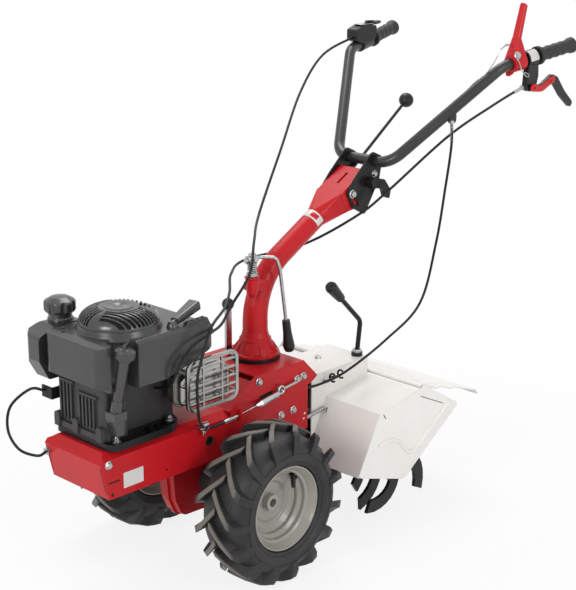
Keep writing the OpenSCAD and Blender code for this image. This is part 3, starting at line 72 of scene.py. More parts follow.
# Catmull-Rom line through the points, steps to a span
def smoothLine(points, steps=8):
    p = np.array(points, float)
    ext = np.concatenate([p[:1], p, p[-1:]])
    t = np.linspace(0, 1, steps, endpoint=False)[None, :, None]
    a, b, c, d = (ext[i:len(ext) - 3 + i, None, :] for i in range(4))
    spans = 0.5 * (2 * b + (c - a) * t + (2 * a - 5 * b + 4 * c - d) * t**2
                   + (3 * b - a - 3 * c + d) * t**3)
    return np.concatenate([spans.reshape(-1, p.shape[1]), p[-1:]])


# each cell of a grid joins its four corners; a wrapped side meets its start
def gridFaces(rows, cols, wrapRows=False, wrapCols=True):
    r = np.arange(rows if wrapRows else rows - 1)[:, None]
    c = np.arange(cols if wrapCols else cols - 1)[None, :]
    r1, c1 = (r + 1) % rows, (c + 1) % cols
    cells = np.stack([r * cols + c, r * cols + c1, r1 * cols + c1, r1 * cols + c], -1)
    return cells.reshape(-1, 4)


# points and faces of one grid
def patch(grid, wrapRows=False, wrapCols=True):
    return grid.reshape(-1, 3), gridFaces(*grid.shape[:2], wrapRows, wrapCols)


# frames carried along a line without twist
def carriedFrames(path):
    t = unit(np.gradient(path, axis=0))
    n = np.zeros_like(t)
    start = np.array([0, 0, 1.0]) if abs(t[0, 2]) < 0.9 else np.array([1.0, 0, 0])
    for i, tangent in enumerate(t):
        start = unit(start - (start @ tangent) * tangent)
        n[i] = start
    return t, n, np.cross(t, n)


# circle of the given radius carried along a path, its ends drawn in to a point
def tube(path, radius, sides=12, closed=False):
    path = np.array(path, float)
    radius = np.broadcast_to(np.array(radius, float), (len(path),))
    if not closed:
        path = np.concatenate([path[:1], path, path[-1:]])
        radius = np.concatenate([[0], radius, [0]])
        t, n, b = carriedFrames(path[1:-1])
        n, b = (np.concatenate([v[:1], v, v[-1:]]) for v in (n, b))
    else:
        t, n, b = carriedFrames(path)
    a = np.linspace(0, 2 * math.pi, sides, endpoint=False)[None, :, None]
    circle = np.cos(a) * n[:, None] + np.sin(a) * b[:, None]
    grid = path[:, None] + radius[:, None, None] * circle
    return patch(grid, wrapRows=closed)


# three directions square to each other, the last along the axis
def axisFrame(axis):
    w = unit(np.array(axis, float))
    u = unit(np.cross([0, 0, 1.0] if abs(w[2]) < 0.9 else [1.0, 0, 0], w))
    return u, np.cross(w, u), w


# profile of (radius, height) pairs turned about an axis; with corners the section is a polygon
def turned(profile, base, axis, sides=32, corners=0, spin=0.0):
    u, v, w = axisFrame(axis)
    prof = np.array(profile, float)
    a = np.linspace(0, 2 * math.pi, sides, endpoint=False) + spin
    shape = np.ones(sides)
    if corners:
        half = math.pi / corners
        shape = math.cos(half) / np.cos((a - spin) % (2 * half) - half)
    section = shape[:, None] * (np.cos(a)[:, None] * u + np.sin(a)[:, None] * v)
    grid = np.array(base, float) + prof[:, :1, None] * section[None] + prof[:, 1:, None] * w
    return patch(grid)


# profile turned with a six-sided section
def hexed(profile, base, axis):
    return turned(profile, base, axis, 36, 6)


# round wire on a screw line between two points, its ends drawn in
def coil(a, b, radius, wire, turns, sides=8, steps=14):
    a, b = np.array(a, float), np.array(b, float)
    u, v, w = axisFrame(b - a)
    s = np.linspace(0, 1, int(turns * steps))
    r = radius * np.clip(np.minimum(s, 1 - s) * steps, 0.2, 1)
    turn = 2 * math.pi * turns * s
    away = np.cos(turn)[:, None] * u + np.sin(turn)[:, None] * v
    return tube(a + s[:, None] * (b - a) + r[:, None] * away, wire / 2, sides)


# rectangle with quarter-round corners
def roundRect(x0, x1, z0, z1, r, n=5):
    quarter = math.pi / 2
    a = np.linspace(0, quarter, n)
    corners = [(x1 - r, z1 - r), (x0 + r, z1 - r), (x0 + r, z0 + r), (x1 - r, z0 + r)]
    return np.concatenate([np.stack([x + r * np.cos(a + k * quarter), z + r * np.sin(a + k * quarter)], -1)
                           for k, (x, z) in enumerate(corners)])


# half circles about two points, joined by straight sides
def capsule(a, b, r, n=9):
    a, b = np.array(a, float), np.array(b, float)
    lean = math.atan2(b[1] - a[1], b[0] - a[0])
    t = np.linspace(-math.pi / 2, math.pi / 2, n) + lean
    half = r * np.stack([np.cos(t), np.sin(t)], -1)
    return np.concatenate([b + half, a - half])


# outline drawn in to its middle on both faces, the rim between them eased
def plate(outline, base, u, v, w, depth, edge=0.2):
    p = np.array(outline, float)
    mid = p.mean(0)
    inset = 1 - edge / np.linalg.norm(p - mid, axis=1).mean()
    rows = [(0, 0), (inset, 0), (1, edge), (1, depth - edge), (inset, depth), (0, depth)]
    spread = np.array([u, v], float)
    base, w = np.array(base, float), np.array(w, float)
    return patch(np.stack([base + (mid + s * (p - mid)) @ spread + h * w for s, h in rows]))


# rounded oblong carried along a path, its width kept along one direction
def bar(path, width, thick, side, ease=0.3):
    path, side = np.array(path, float), np.array(side, float)
    t = unit(np.gradient(path, axis=0))
    s = unit(side - (t @ side)[:, None] * t)
    n = np.cross(t, s)
    sec = roundRect(-width / 2, width / 2, -thick / 2, thick / 2, min(width, thick) * ease, 4)
    body = path[:, None] + sec[None, :, :1] * s[:, None] + sec[None, :, 1:] * n[:, None]
    ends = np.repeat(path[[0, -1], None], len(sec), axis=1)
    return patch(np.concatenate([ends[:1], body, ends[1:]]))


# points on a circle about an axis, between two turns in degrees
def arc(middle, axis, radius, start, end, n=25):
    u, v, w = axisFrame(axis)
    a = np.radians(np.linspace(start, end, n))[:, None]
    return np.array(middle, float) + radius * (np.cos(a) * u + np.sin(a) * v)


# closed ring of round wire
def ring(middle, axis, radius, wire, n=25, sides=10):
    return tube(arc(middle, axis, radius, 0, 360, n)[:-1], wire, sides, closed=True)


# thin band laid round an axis
def band(middle, axis, radius, turn, n, width, thick):
    return bar(arc(middle, axis, radius, *turn, n), width, thick, axis)


# widths as shares of the head's radius, small steps in millimetres
boltSet = dict(washer=1.32, washerTop=1.24, thick=1.5, washerEase=0.4, head=0.8, crown=0.16, crownTop=0.85,
               overlap=0.1, stud=0.5, studTop=0.38, studOverlap=0.5, studEase=0.8)


# washer, six-sided head with an eased crown, and a stud end where one shows
def bolt(place, axis, r=6.5, stud=0.0):
    s = boltSet
    low, top = s["thick"], s["thick"] + s["head"] * r
    washer, washerTop, crownTop = s["washer"] * r, s["washerTop"] * r, s["crownTop"] * r
    pieces = [turned([(0, 0), (washer, 0), (washer, low - s["washerEase"]), (washerTop, low), (0, low)],
                     place, axis, 28),
              hexed([(0, low - s["overlap"]), (r, low - s["overlap"]), (r, top - s["crown"] * r),
                     (crownTop, top), (0, top)], place, axis)]
    if stud:
        wide, narrow, foot = s["stud"] * r, s["studTop"] * r, top - s["studOverlap"]
        pieces.append(turned([(0, foot), (wide, foot), (wide, stud - s["studEase"]), (narrow, stud),
                              (0, stud)], place, axis, 20))
    return pieces


# bolts from rows of place, direction, radius and stud height
def bolts(rows):
    return [piece for row in rows for piece in bolt(*row)]


# doubles merged, faces turned outwards, edges past the angle kept sharp
def weld(mesh, sharpAngle):
    bm = bmesh.new()
    bm.from_mesh(mesh)
    bmesh.ops.remove_doubles(bm, verts=bm.verts, dist=1e-6)
    bmesh.ops.dissolve_degenerate(bm, edges=bm.edges, dist=1e-7)
    bmesh.ops.recalc_face_normals(bm, faces=bm.faces)
    bm.to_mesh(mesh)
    bm.free()
    mesh.shade_smooth()
    mesh.set_sharp_from_angle(angle=math.radians(sharpAngle))


# one mesh from several patches
def addPiece(name, patches, material, body=None, sharpAngle=38, groove=None):
    starts = np.cumsum([0] + [len(points) for points, faces in patches])
    points = np.concatenate([points for points, faces in patches])
    faces = np.concatenate([faces + start for (p, faces), start in zip(patches, starts)])
    mesh = bpy.data.meshes.new(name)
    mesh.from_pydata(points.tolist(), [], faces.tolist())
    # a groove attribute, when given, is a per-point mask that the dome's finish uses for painted slot shade
    if groove is not None:
        mesh.attributes.new("groove", "FLOAT", "POINT").data.foreach_set("value", groove)
    weld(mesh, sharpAngle)
    mesh.materials.append(material)
    piece = bpy.data.objects.new(name, mesh)
    bpy.context.scene.collection.objects.link(piece)
    if body:
        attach(piece, body)
    return piece


# Camera at the photograph's place
cameraSet = dict(place=(1912.38, 2102.49, 1414.16), yaw=224.674, pitch=-16.233,
                 focalPx=1442.34, frameHeight=590, sensor=36.0, offset=(-11.77, -11.07))


def placeCamera(s):
    data = bpy.data.cameras.new("camera")
    data.sensor_fit = "VERTICAL"
    data.sensor_height = data.sensor_width = s["sensor"]
    data.lens = s["focalPx"] / s["frameHeight"] * s["sensor"]
    data.shift_x = -s["offset"][0] / s["frameHeight"]
    data.shift_y = s["offset"][1] / s["frameHeight"]
    camera = bpy.data.objects.new("camera", data)
    camera.location = at(s["place"])
    camera.rotation_euler = (math.radians(90 + s["pitch"]), 0, math.radians(s["yaw"] - 90))
    bpy.context.scene.collection.objects.link(camera)
    bpy.context.scene.camera = camera


placeCamera(cameraSet)
print("camera placed")


# Shader groups shared by the finishes
def newGroup(name, inputs, outputs):
    group = bpy.data.node_groups.new(name, "ShaderNodeTree")
    for label, kind, value in inputs:
        socket = group.interface.new_socket(label, in_out="INPUT", socket_type=kind)
        if value is not None:
            socket.default_value = value
    for label, kind in outputs:
        group.interface.new_socket(label, in_out="OUTPUT", socket_type=kind)
    return group, group.nodes.new("NodeGroupInput"), group.nodes.new("NodeGroupOutput")


def addNode(tree, kind, values=None, **settings):
    node = tree.nodes.new(kind)
    for key, value in settings.items():
        setattr(node, key, value)
    for key, value in (values or {}).items():
        node.inputs[key].default_value = value
    return node


# broad and fine noise from one position, for tone, sheen and relief
def makeMottle():
    group, gin, gout = newGroup(
        "mottle",
        [("Position", "NodeSocketVector", None), ("Broad Scale", "NodeSocketFloat", 12.0),
         ("Fine Scale", "NodeSocketFloat", 900.0)],
        [("Broad", "NodeSocketFloat"), ("Fine", "NodeSocketFloat"), ("Both", "NodeSocketFloat")])
    link = group.links.new
    broad = addNode(group, "ShaderNodeTexNoise", {"Detail": 4.0, "Roughness": 0.55})
    fine = addNode(group, "ShaderNodeTexNoise", {"Detail": 2.0, "Roughness": 0.5})
    both = addNode(group, "ShaderNodeMath", operation="MULTIPLY")
    for node, scale in ((broad, "Broad Scale"), (fine, "Fine Scale")):
        link(gin.outputs["Position"], node.inputs["Vector"])
        link(gin.outputs[scale], node.inputs["Scale"])
    link(broad.outputs["Fac"], both.inputs[0])
    link(fine.outputs["Fac"], both.inputs[1])
    link(broad.outputs["Fac"], gout.inputs["Broad"])
    link(fine.outputs["Fac"], gout.inputs["Fine"])
    link(both.outputs["Value"], gout.inputs["Both"])
    return group


# dust that gathers near the ground, broken up by noise
def makeLowDust():
    group, gin, gout = newGroup(
        "lowDust",
        [("Position", "NodeSocketVector", None), ("Top", "NodeSocketFloat", 0.3),
         ("Amount", "NodeSocketFloat", 0.3)],
        [("Mask", "NodeSocketFloat")])
    link = group.links.new
    split = addNode(group, "ShaderNodeSeparateXYZ")
    level = addNode(group, "ShaderNodeMapRange", {"From Min": 0.0, "To Min": 1.0, "To Max": 0.0})
    cloud = addNode(group, "ShaderNodeTexNoise", {"Scale": 38.0, "Detail": 5.0, "Roughness": 0.62})
    broken = addNode(group, "ShaderNodeMapRange", {"From Min": 0.42, "From Max": 0.72})
    times = addNode(group, "ShaderNodeMath", operation="MULTIPLY")
    share = addNode(group, "ShaderNodeMath", operation="MULTIPLY")
    link(gin.outputs["Position"], split.inputs["Vector"])
    link(gin.outputs["Position"], cloud.inputs["Vector"])
    link(split.outputs["Z"], level.inputs["Value"])
    link(gin.outputs["Top"], level.inputs["From Max"])
    link(cloud.outputs["Fac"], broken.inputs["Value"])
    link(level.outputs["Result"], times.inputs[0])
    link(broken.outputs["Result"], times.inputs[1])
    link(times.outputs["Value"], share.inputs[0])
    link(gin.outputs["Amount"], share.inputs[1])
    link(share.outputs["Value"], gout.inputs["Mask"])
    return group


# distance from a wheel's axle line, for rings and the lighter lug tops
def makeWheelRadius():
    group, gin, gout = newGroup(
        "wheelRadius", [("Position", "NodeSocketVector", None)], [("Radius", "NodeSocketFloat")])
    link = group.links.new
    away = addNode(group, "ShaderNodeVectorMath", operation="SUBTRACT")
    away.inputs[1].default_value = axle
    flat = addNode(group, "ShaderNodeVectorMath", operation="MULTIPLY")
    flat.inputs[1].default_value = (1, 0, 1)
    size = addNode(group, "ShaderNodeVectorMath", operation="LENGTH")
    link(gin.outputs["Position"], away.inputs[0])
    link(away.outputs["Vector"], flat.inputs[0])
    link(flat.outputs["Vector"], size.inputs[0])
    link(size.outputs["Value"], gout.inputs["Radius"])
    return group


mottle, lowDust, wheelRadius = makeMottle(), makeLowDust(), makeWheelRadius()


class Finish:
    # a Principled material with object position, mottle and rounded edges ready to link
    def __init__(self, name, color, rough, metallic=0.0, broad=12.0, fine=900.0, edge=0.0015,
                 coat=0.0, spec=0.5):
        self.mat = bpy.data.materials.new(name)
        self.mat.use_nodes = True
        self.tree = self.mat.node_tree
        self.link = self.tree.links.new
        self.shader = self.tree.nodes["Principled BSDF"]
        self.shader.inputs["Base Color"].default_value = (*color, 1)
        self.shader.inputs["Roughness"].default_value = rough
        self.shader.inputs["Metallic"].default_value = metallic
        self.shader.inputs["Coat Weight"].default_value = coat
        self.shader.inputs["Coat Roughness"].default_value = 0.12
        self.shader.inputs["Specular IOR Level"].default_value = spec
        self.place = addNode(self.tree, "ShaderNodeTexCoord").outputs["Object"]
        self.mot = addNode(self.tree, "ShaderNodeGroup", node_tree=mottle)
        self.mot.inputs["Broad Scale"].default_value = broad
        self.mot.inputs["Fine Scale"].default_value = fine
        self.link(self.place, self.mot.inputs["Position"])
        self.normal = None
        if edge:
            rim = addNode(self.tree, "ShaderNodeBevel", {"Radius": edge}, samples=4)
            self.normal = rim.outputs["Normal"]
            self.link(self.normal, self.shader.inputs["Normal"])
        self.colorOut = None

    def spread(self, socket, low, high, fromLow=0.3, fromHigh=0.7):
        node = addNode(self.tree, "ShaderNodeMapRange", {"From Min": fromLow, "From Max": fromHigh,
                                                         "To Min": low, "To Max": high})
        self.link(socket, node.inputs["Value"])
        return node.outputs["Result"]

    def tone(self, mask, low, high):
        mix = addNode(self.tree, "ShaderNodeMix", data_type="RGBA")
        mix.inputs["A"].default_value = (*low, 1)
        mix.inputs["B"].default_value = (*high, 1)
        self.link(mask, mix.inputs["Factor"])
        self.setColor(mix.outputs[2])

    def cover(self, mask, color):
        mix = addNode(self.tree, "ShaderNodeMix", data_type="RGBA")
        self.link(self.colorOut, mix.inputs[6])
        mix.inputs[7].default_value = (*color, 1)
        self.link(mask, mix.inputs["Factor"])
        self.setColor(mix.outputs[2])

    def setColor(self, socket):
        self.colorOut = socket
        self.link(socket, self.shader.inputs["Base Color"])

    def gloss(self, socket, low, high):
        self.link(self.spread(socket, low, high), self.shader.inputs["Roughness"])

    def relief(self, height, strength, distance):
        bump = addNode(self.tree, "ShaderNodeBump", {"Strength": strength, "Distance": distance})
        self.link(height, bump.inputs["Height"])
        if self.normal:
            self.link(self.normal, bump.inputs["Normal"])
        self.normal = bump.outputs["Normal"]
        self.link(self.normal, self.shader.inputs["Normal"])

    def dusty(self, top, amount, color=(0.36, 0.33, 0.29)):
        dust = addNode(self.tree, "ShaderNodeGroup", node_tree=lowDust)
        dust.inputs["Top"].default_value = top
        dust.inputs["Amount"].default_value = amount
        self.link(self.place, dust.inputs["Position"])
        self.cover(dust.outputs["Mask"], color)


finishes = {}


# broad mottle for the tone, a chosen mottle for the sheen and fine relief, as most finishes have
def plainFinish(name, low, high, rough, sheen, strength, distance, **settings):
    f = Finish(name, high, rough[0], **settings)
    f.tone(f.spread(f.mot.outputs["Broad"], 0, 1), low, high)
    f.gloss(f.mot.outputs[sheen], *rough)
    f.relief(f.mot.outputs["Fine"], strength, distance)
    finishes[name] = f.mat
    return f


def paintFinish(name, low, high, rough, coat, peel=0.05, dust=0.0, spec=0.5):
    f = plainFinish(name, low, high, rough, "Both", peel, 0.0006, broad=9.0, fine=620.0, coat=coat,
                    edge=0.0016, spec=spec)
    if dust:
        f.dusty(0.34, dust)


def mouldedFinish(name, low, high, rough, grain, fine=1500.0, edge=0.0014, spec=0.5):
    plainFinish(name, low, high, rough, "Fine", grain, 0.0005, broad=14.0, fine=fine, edge=edge, spec=spec)


def metalFinish(name, low, high, rough, scratch=0.06):
    plainFinish(name, low, high, rough, "Both", scratch, 0.0003, metallic=1.0, broad=22.0, fine=800.0,
                edge=0.0008)


paintSet = dict(
    redPaint=dict(low=(0.47, 0.007, 0.012), high=(0.54, 0.009, 0.014), rough=(0.38, 0.48), coat=0.05,
                  dust=0.03, spec=0.24),
    redPlastic=dict(low=(0.52, 0.006, 0.010), high=(0.60, 0.008, 0.013), rough=(0.36, 0.46), coat=0.05,
                    spec=0.35),
    whitePaint=dict(low=(0.84, 0.822, 0.785), high=(0.89, 0.875, 0.84), rough=(0.30, 0.42), coat=0.25,
                    dust=0.05),
    blackPaint=dict(low=(0.008, 0.008, 0.009), high=(0.014, 0.014, 0.015), rough=(0.28, 0.42), coat=0.0,
                    peel=0.06, spec=0.24),
    barPaint=dict(low=(0.020, 0.020, 0.021), high=(0.030, 0.030, 0.031), rough=(0.32, 0.46), coat=0.05,
                  peel=0.1, spec=0.42),
    rimPaint=dict(low=(0.30, 0.285, 0.255), high=(0.37, 0.35, 0.315), rough=(0.32, 0.46), coat=0.25,
                  dust=0.12),
    labelFoil=dict(low=(0.62, 0.61, 0.59), high=(0.70, 0.69, 0.67), rough=(0.4, 0.52), coat=0.0, peel=0.02))
mouldedSet = dict(
    greyPlastic=dict(low=(0.038, 0.037, 0.036), high=(0.050, 0.048, 0.047), rough=(0.22, 0.32), grain=0.03,
                     edge=0.0035),
    blackPlastic=dict(low=(0.010, 0.010, 0.011), high=(0.017, 0.017, 0.018), rough=(0.28, 0.42), grain=0.05,
                      spec=0.3),
    darkPlastic=dict(low=(0.026, 0.025, 0.025), high=(0.036, 0.035, 0.034), rough=(0.20, 0.30), grain=0.03,
                     edge=0.0022, spec=0.75),
    engineCast=dict(low=(0.024, 0.023, 0.022), high=(0.036, 0.035, 0.034), rough=(0.42, 0.6), grain=0.3,
                    fine=420.0),
    castGrey=dict(low=(0.024, 0.024, 0.024), high=(0.038, 0.038, 0.038), rough=(0.45, 0.62), grain=0.3,
                  fine=380.0),
    gripRubber=dict(low=(0.022, 0.022, 0.022), high=(0.032, 0.032, 0.032), rough=(0.46, 0.6), grain=0.14,
                    fine=700.0, spec=0.35),
    cableSheath=dict(low=(0.005, 0.005, 0.005), high=(0.009, 0.009, 0.009), rough=(0.32, 0.46), grain=0.08,
                     fine=900.0, edge=0.0, spec=0.25))
metalSet = dict(
    zincSteel=dict(low=(0.36, 0.37, 0.37), high=(0.52, 0.53, 0.53), rough=(0.24, 0.40)),
    darkSteel=dict(low=(0.05, 0.05, 0.05), high=(0.09, 0.09, 0.088), rough=(0.36, 0.52)),
    silencerSheet=dict(low=(0.29, 0.285, 0.27), high=(0.45, 0.445, 0.425), rough=(0.24, 0.40), scratch=0.12))

for makeFinish, table in ((paintFinish, paintSet), (mouldedFinish, mouldedSet), (metalFinish, metalSet)):
    for finishName, settings in table.items():
        makeFinish(finishName, **settings)

tyreSet = dict(low=(0.016, 0.016, 0.017), high=(0.028, 0.027, 0.027), rough=(0.5, 0.7), grain=(0.25, 0.0007),
               lugTopTone=(0.21, 0.192, 0.168), lugTopMost=0.75, lugTopDepth=(0.005, 0.001),
               dust=(0.10, 0.09, 0.08), dustTop=0.2, dustAmount=0.2,
               ringPitch=1100.0, ringRelief=(0.1, 0.0006))


# rubber with flow rings on the sidewall and a lighter tone on the lug tops, by distance from the axle
def tyreFinish(name, s):
    f = Finish(name, s["high"], s["rough"][0], broad=26.0, fine=520.0, edge=0.002, spec=0.35)
    f.tone(f.spread(f.mot.outputs["Broad"], 0, 1), s["low"], s["high"])
    radius = addNode(f.tree, "ShaderNodeGroup", node_tree=wheelRadius)
    f.link(f.place, radius.inputs["Position"])
    deep, flush = (axle[2] - depth for depth in s["lugTopDepth"])
    # lug tops at the outermost radius take a lighter tone
    f.cover(f.spread(radius.outputs["Radius"], 0, s["lugTopMost"], deep, flush), s["lugTopTone"])
    f.dusty(s["dustTop"], s["dustAmount"], s["dust"])
    f.gloss(f.mot.outputs["Both"], *s["rough"])
    wave = addNode(f.tree, "ShaderNodeMath", operation="SINE")
    turns = addNode(f.tree, "ShaderNodeMath", operation="MULTIPLY")
    turns.inputs[1].default_value = s["ringPitch"]
    f.link(radius.outputs["Radius"], turns.inputs[0])
    f.link(turns.outputs["Value"], wave.inputs[0])
    f.relief(wave.outputs["Value"], *s["ringRelief"])
    f.relief(f.mot.outputs["Fine"], *s["grain"])
    finishes[name] = f.mat


tyreFinish("tyreRubber", tyreSet)

# slot is the near-black colour painted into the slot floors as painted shade
domeSet = dict(low=(0.026, 0.025, 0.025), high=(0.036, 0.035, 0.034), slot=(0.002, 0.002, 0.002),
               rough=(0.20, 0.30), grain=(0.03, 0.0005))


# dark moulding whose pressed slots are painted near-black as painted shade and made dull, by the piece's own
# groove attribute
def domeFinish(name, s):
    f = Finish(name, s["high"], s["rough"][0], broad=14.0, fine=1500.0, edge=0.0, spec=0.75)
    f.tone(f.spread(f.mot.outputs["Broad"], 0, 1), s["low"], s["high"])
    groove = addNode(f.tree, "ShaderNodeAttribute", attribute_name="groove")
    # the groove mask covers the slots with the near-black painted shade
    f.cover(groove.outputs["Fac"], s["slot"])
    dull = addNode(f.tree, "ShaderNodeMath", operation="MAXIMUM")
    f.link(f.spread(f.mot.outputs["Fine"], *s["rough"]), dull.inputs[0])
    f.link(groove.outputs["Fac"], dull.inputs[1])
    f.link(dull.outputs["Value"], f.shader.inputs["Roughness"])
    f.relief(f.mot.outputs["Fine"], *s["grain"])
    finishes[name] = f.mat


domeFinish("domePlastic", domeSet)
print("finishes made:", len(finishes))

# which finish each node takes
finishOf = dict(
    redPaint="chassis side_plates saddle gear_case column column_head",
    redPlastic="reverse_lever",
    whitePaint="tiller_hood tiller_cover tiller_flap",
    tyreRubber="left_tyre right_tyre",
    rimPaint="left_rim right_rim",
    darkSteel="left_shaft right_shaft",
    zincSteel="flap_rod lock_plunger lock_lever shift_lever tiller_strut"
              " front_boss_nut crank_pulley case_pulley",
    castGrey="axle_housings tiller_neck tiller_case",
    engineCast="crankcase cylinder_barrel",
    greyPlastic="blower_housing",
    darkPlastic="starter_dome starter_grip fuel_tank fuel_cap oil_filler",
    blackPlastic="clutch_bracket clutch_lever throttle_control selector_knob lock_grip"
                 " tiller_lever_grip",
    silencerSheet="silencer silencer_guard",
    blackPaint="engine_base swivel_ring clamp_plates clamp_handle selector_rod tiller_rotor"
               " throttle_bracket tiller_lever",
    barPaint="handlebar",
    gripRubber="left_grip right_grip",
    cableSheath="throttle_cable clutch_cable reverse_cable front_cable")

for finishName, names in finishOf.items():
    for nodeName in names.split():
        mesh = nodes[nodeName].data
        mesh.materials.clear()
        mesh.materials.append(finishes[finishName])
print("nodes dressed")

# Control cables along the part's routes, a few points eased by up to about 15 mm;
# upper and lower give point pairs for each half, which the code does not read; each half is laid as a fixed
# piece
cableTube = dict(radius=0.0029, sides=12, steps=10)
cableSet = dict(
    throttle=dict(
        split=4, upper=((-600, -228, 980), (-260, -76, 724)), lower=((-214, -52, 690), (-12, 72, 554)),
        route=[(-705, -228, 1013), (-600, -228, 980), (-500, -204, 906), (-360, -130, 800), (-214, -52, 690),
               (-134, 14, 656), (-76, 60, 606), (-12, 72, 554), (32, 90, 530), (77, 108, 526),
               (128, 112, 513), (162, 116, 491), (178, 114, 464), (180, 98, 438), (175, 49.7, 420)]),
    clutch=dict(
        split=5, upper=((-690, 206, 900), (-417, 52, 670)), lower=((-180, -58, 584), (22, 90, 570)),
        route=[(-748, 232, 932), (-690, 206, 900), (-600, 152, 834), (-488, 75, 715), (-417, 52, 670),
               (-350, -44, 600), (-180, -58, 594), (-90, -10, 590), (-30, 48, 575), (22, 88, 560),
               (89, 122, 544), (122, 133, 500), (140, 135, 454), (143, 138, 390), (121, 120, 348),
               (94, 101, 328), (58, 95, 318), (20, 91.6, 319.5), (-8, 91.4, 322)]),
    reverse=dict(
        split=3, upper=((-598, 165, 814), (-608, 144, 700)), lower=((-612, 120, 584), (-470, 98, 380)),
        route=[(-599, 163, 866), (-598, 165, 814), (-608, 144, 714), (-612, 120, 584), (-580, 104, 444),
               (-470, 98, 380), (-335, 96, 336), (-262, 84, 322), (-223, 72, 320)]))


def sheath(path):
    return [tube(path, cableTube["radius"], cableTube["sides"])]


def addCable(name, s):
    line = smoothLine(at(s["route"]), cableTube["steps"])
    cut = s["split"] * cableTube["steps"]
    halves = dict(upper=(line[:cut + 1], "handlebar", "column"), lower=(line[cut:], "column", "tractor"))
    for half, (path, first, second) in halves.items():
        piece = addPiece(name + "Cable" + half.capitalize(), sheath(path), finishes["cableSheath"])
        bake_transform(piece)
        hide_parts(name + "_cable")


for cableName, settings in cableSet.items():
    addCable(cableName, settings)

frontLoop = [(334, -104, 417), (352, -124, 419), (378, -156, 381), (384, -160, 331), (382, -128, 299),
             (370.5, -84, 294.8), (353, -80, 298.9)]
loop = addPiece("frontCableLoop", sheath(smoothLine(at(frontLoop), cableTube["steps"])),
                finishes["cableSheath"], "tractor")
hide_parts("front_cable")
print("cables laid")


def addDetail(name, patches, finish, body="tractor"):
    addPiece(name, [(at(points), faces) for points, faces in patches], finishes[finish], body)


along, up, left = (1, 0, 0), (0, 0, 1), (0, 1, 0)
right, down = (0, -1, 0), (0, 0, -1)
bothSides = (("left", 1), ("right", -1))


# thin plate on a face that looks left
def onSide(outline, face, depth, edge):
    return plate(outline, (0, face, 0), along, up, left, depth, edge)


sideBolts = dict(radius=6.5, spots=[(-69, 92, 380), (-184, 92, 357), (-203, 92, 359), (-139, 88, 286),
                                    (-176, 88, 288), (330, 88, 314)])
addDetail("sideBolts", bolts([((x, side * y, z), (0, side, 0), sideBolts["radius"])
                              for x, y, z in sideBolts["spots"] for sideName, side in bothSides]),
          "zincSteel")

baseBolts = dict(radius=7.5, stud=11,
                 spots=[(297, 73, 349), (297, -73, 349), (150, 60, 349), (150, -60, 349)])
addDetail("baseBolts", bolts([(spot, up, baseBolts["radius"], baseBolts["stud"])
                              for spot in baseBolts["spots"]]), "zincSteel")

# blank nameplate
namePlate = dict(area=(244, 294, 255, 287), corner=1.5, face=88, depth=0.7, edge=0.2)
addDetail("namePlate", [onSide(roundRect(*namePlate["area"], namePlate["corner"]), namePlate["face"],
                               namePlate["depth"], namePlate["edge"])], "labelFoil")

# narrow openings drawn as dark strips of painted shade, and white notches, on the sheet sides, each a thin
# eased strip
stripSet = dict(depth=0.3, edge=0.1)
sideStrips = dict(
    sideSlitShade=("cableSheath", [(88, (304, 275.5), (330, 275.5), 1.5), (92, (-74, 345), (-107, 348), 2.8)]),
    sideNotches=("whitePaint", [(88, (-212, 269), (-214, 270), 2.0), (88, (-209, 258), (-211, 259), 1.8)]))
for stripName, (stripFinish, rows) in sideStrips.items():
    addDetail(stripName, [onSide(capsule(a, b, r), y, **stripSet) for y, a, b, r in rows], stripFinish)

# rubber ring round the side hole, a lip turned about the hole's axis
grommet = dict(place=(69, 88, 288), profile=[(0, -1.2), (7.2, -1.5), (8.2, -0.4), (10.2, 0), (10.6, 0.8),
                                             (10, 1.8), (8.6, 2.1), (7.4, 0.8), (0, 0.4)])
addDetail("grommet", [turned(grommet["profile"], grommet["place"], left)], "cableSheath")

# clutch linkage on the left side: lug, ferrule, wire, spring box, eye and rod
linkage = dict(
    lug=(87.4, 101, 310, 334), lugCorner=4, lugRear=(-14, 0, 0), lugThick=4, lugEdge=0.6,
    ferrule=[(30, 92, 318), (20, 92, 319.3), (-16, 91.6, 322.6)], ferruleRadius=[3.6, 4.2, 4.2],
    wire=[(-14, 91.6, 322.4), (-60, 98, 333)], wireRadius=1.1,
    box=((-56, 97.8, 332.5), (-118, 100, 343)), boxNose=[(0, 0), (2.6, 0), (7.2, 13), (7.6, 16)],
    boxTail=[(7.6, 3), (6.6, 0), (0, 0)],
    eye=dict(middle=(-128, 100, 349), axis=left, radius=8, wire=2.8),
    rod=[(-136, 99, 350), (-152, 98.5, 351), (-176, 98.5, 354)], rodRadius=3.2,
    pin=((-128, 92, 349), left, 4.6, 12))
boxFrom, boxTo = (np.array(p, float) for p in linkage["box"])
boxLong = np.linalg.norm(boxTo - boxFrom)
addDetail("clutchLug", [plate(roundRect(*linkage["lug"], linkage["lugCorner"]), linkage["lugRear"], left, up,
                              along, linkage["lugThick"], linkage["lugEdge"])], "redPaint")
addDetail("clutchLinkage", [
    tube(linkage["ferrule"], linkage["ferruleRadius"], 16), tube(linkage["wire"], linkage["wireRadius"], 8),
    hexed(linkage["boxNose"] + [(r, boxLong - h) for r, h in linkage["boxTail"]], boxFrom, boxTo - boxFrom),
    ring(**linkage["eye"]), tube(linkage["rod"], linkage["rodRadius"]), *bolt(*linkage["pin"])], "zincSteel")

# clip that holds the clutch cable at the deck's edge
cableClip = dict(strap=[(92, 84, 331), (92, 89.6, 331), (92, 93, 333.5), (92, 97, 337), (92, 103, 337.5),
                        (92, 106.5, 334), (92, 106, 326), (92, 100, 321.5), (92, 90, 321)],
                 width=13, thick=2, screw=((92, 98, 321), down, 5.2, 12))
addDetail("cableClip", [bar(smoothLine(cableClip["strap"], 5), cableClip["width"], cableClip["thick"], along),
                        *bolt(*cableClip["screw"])], "zincSteel")

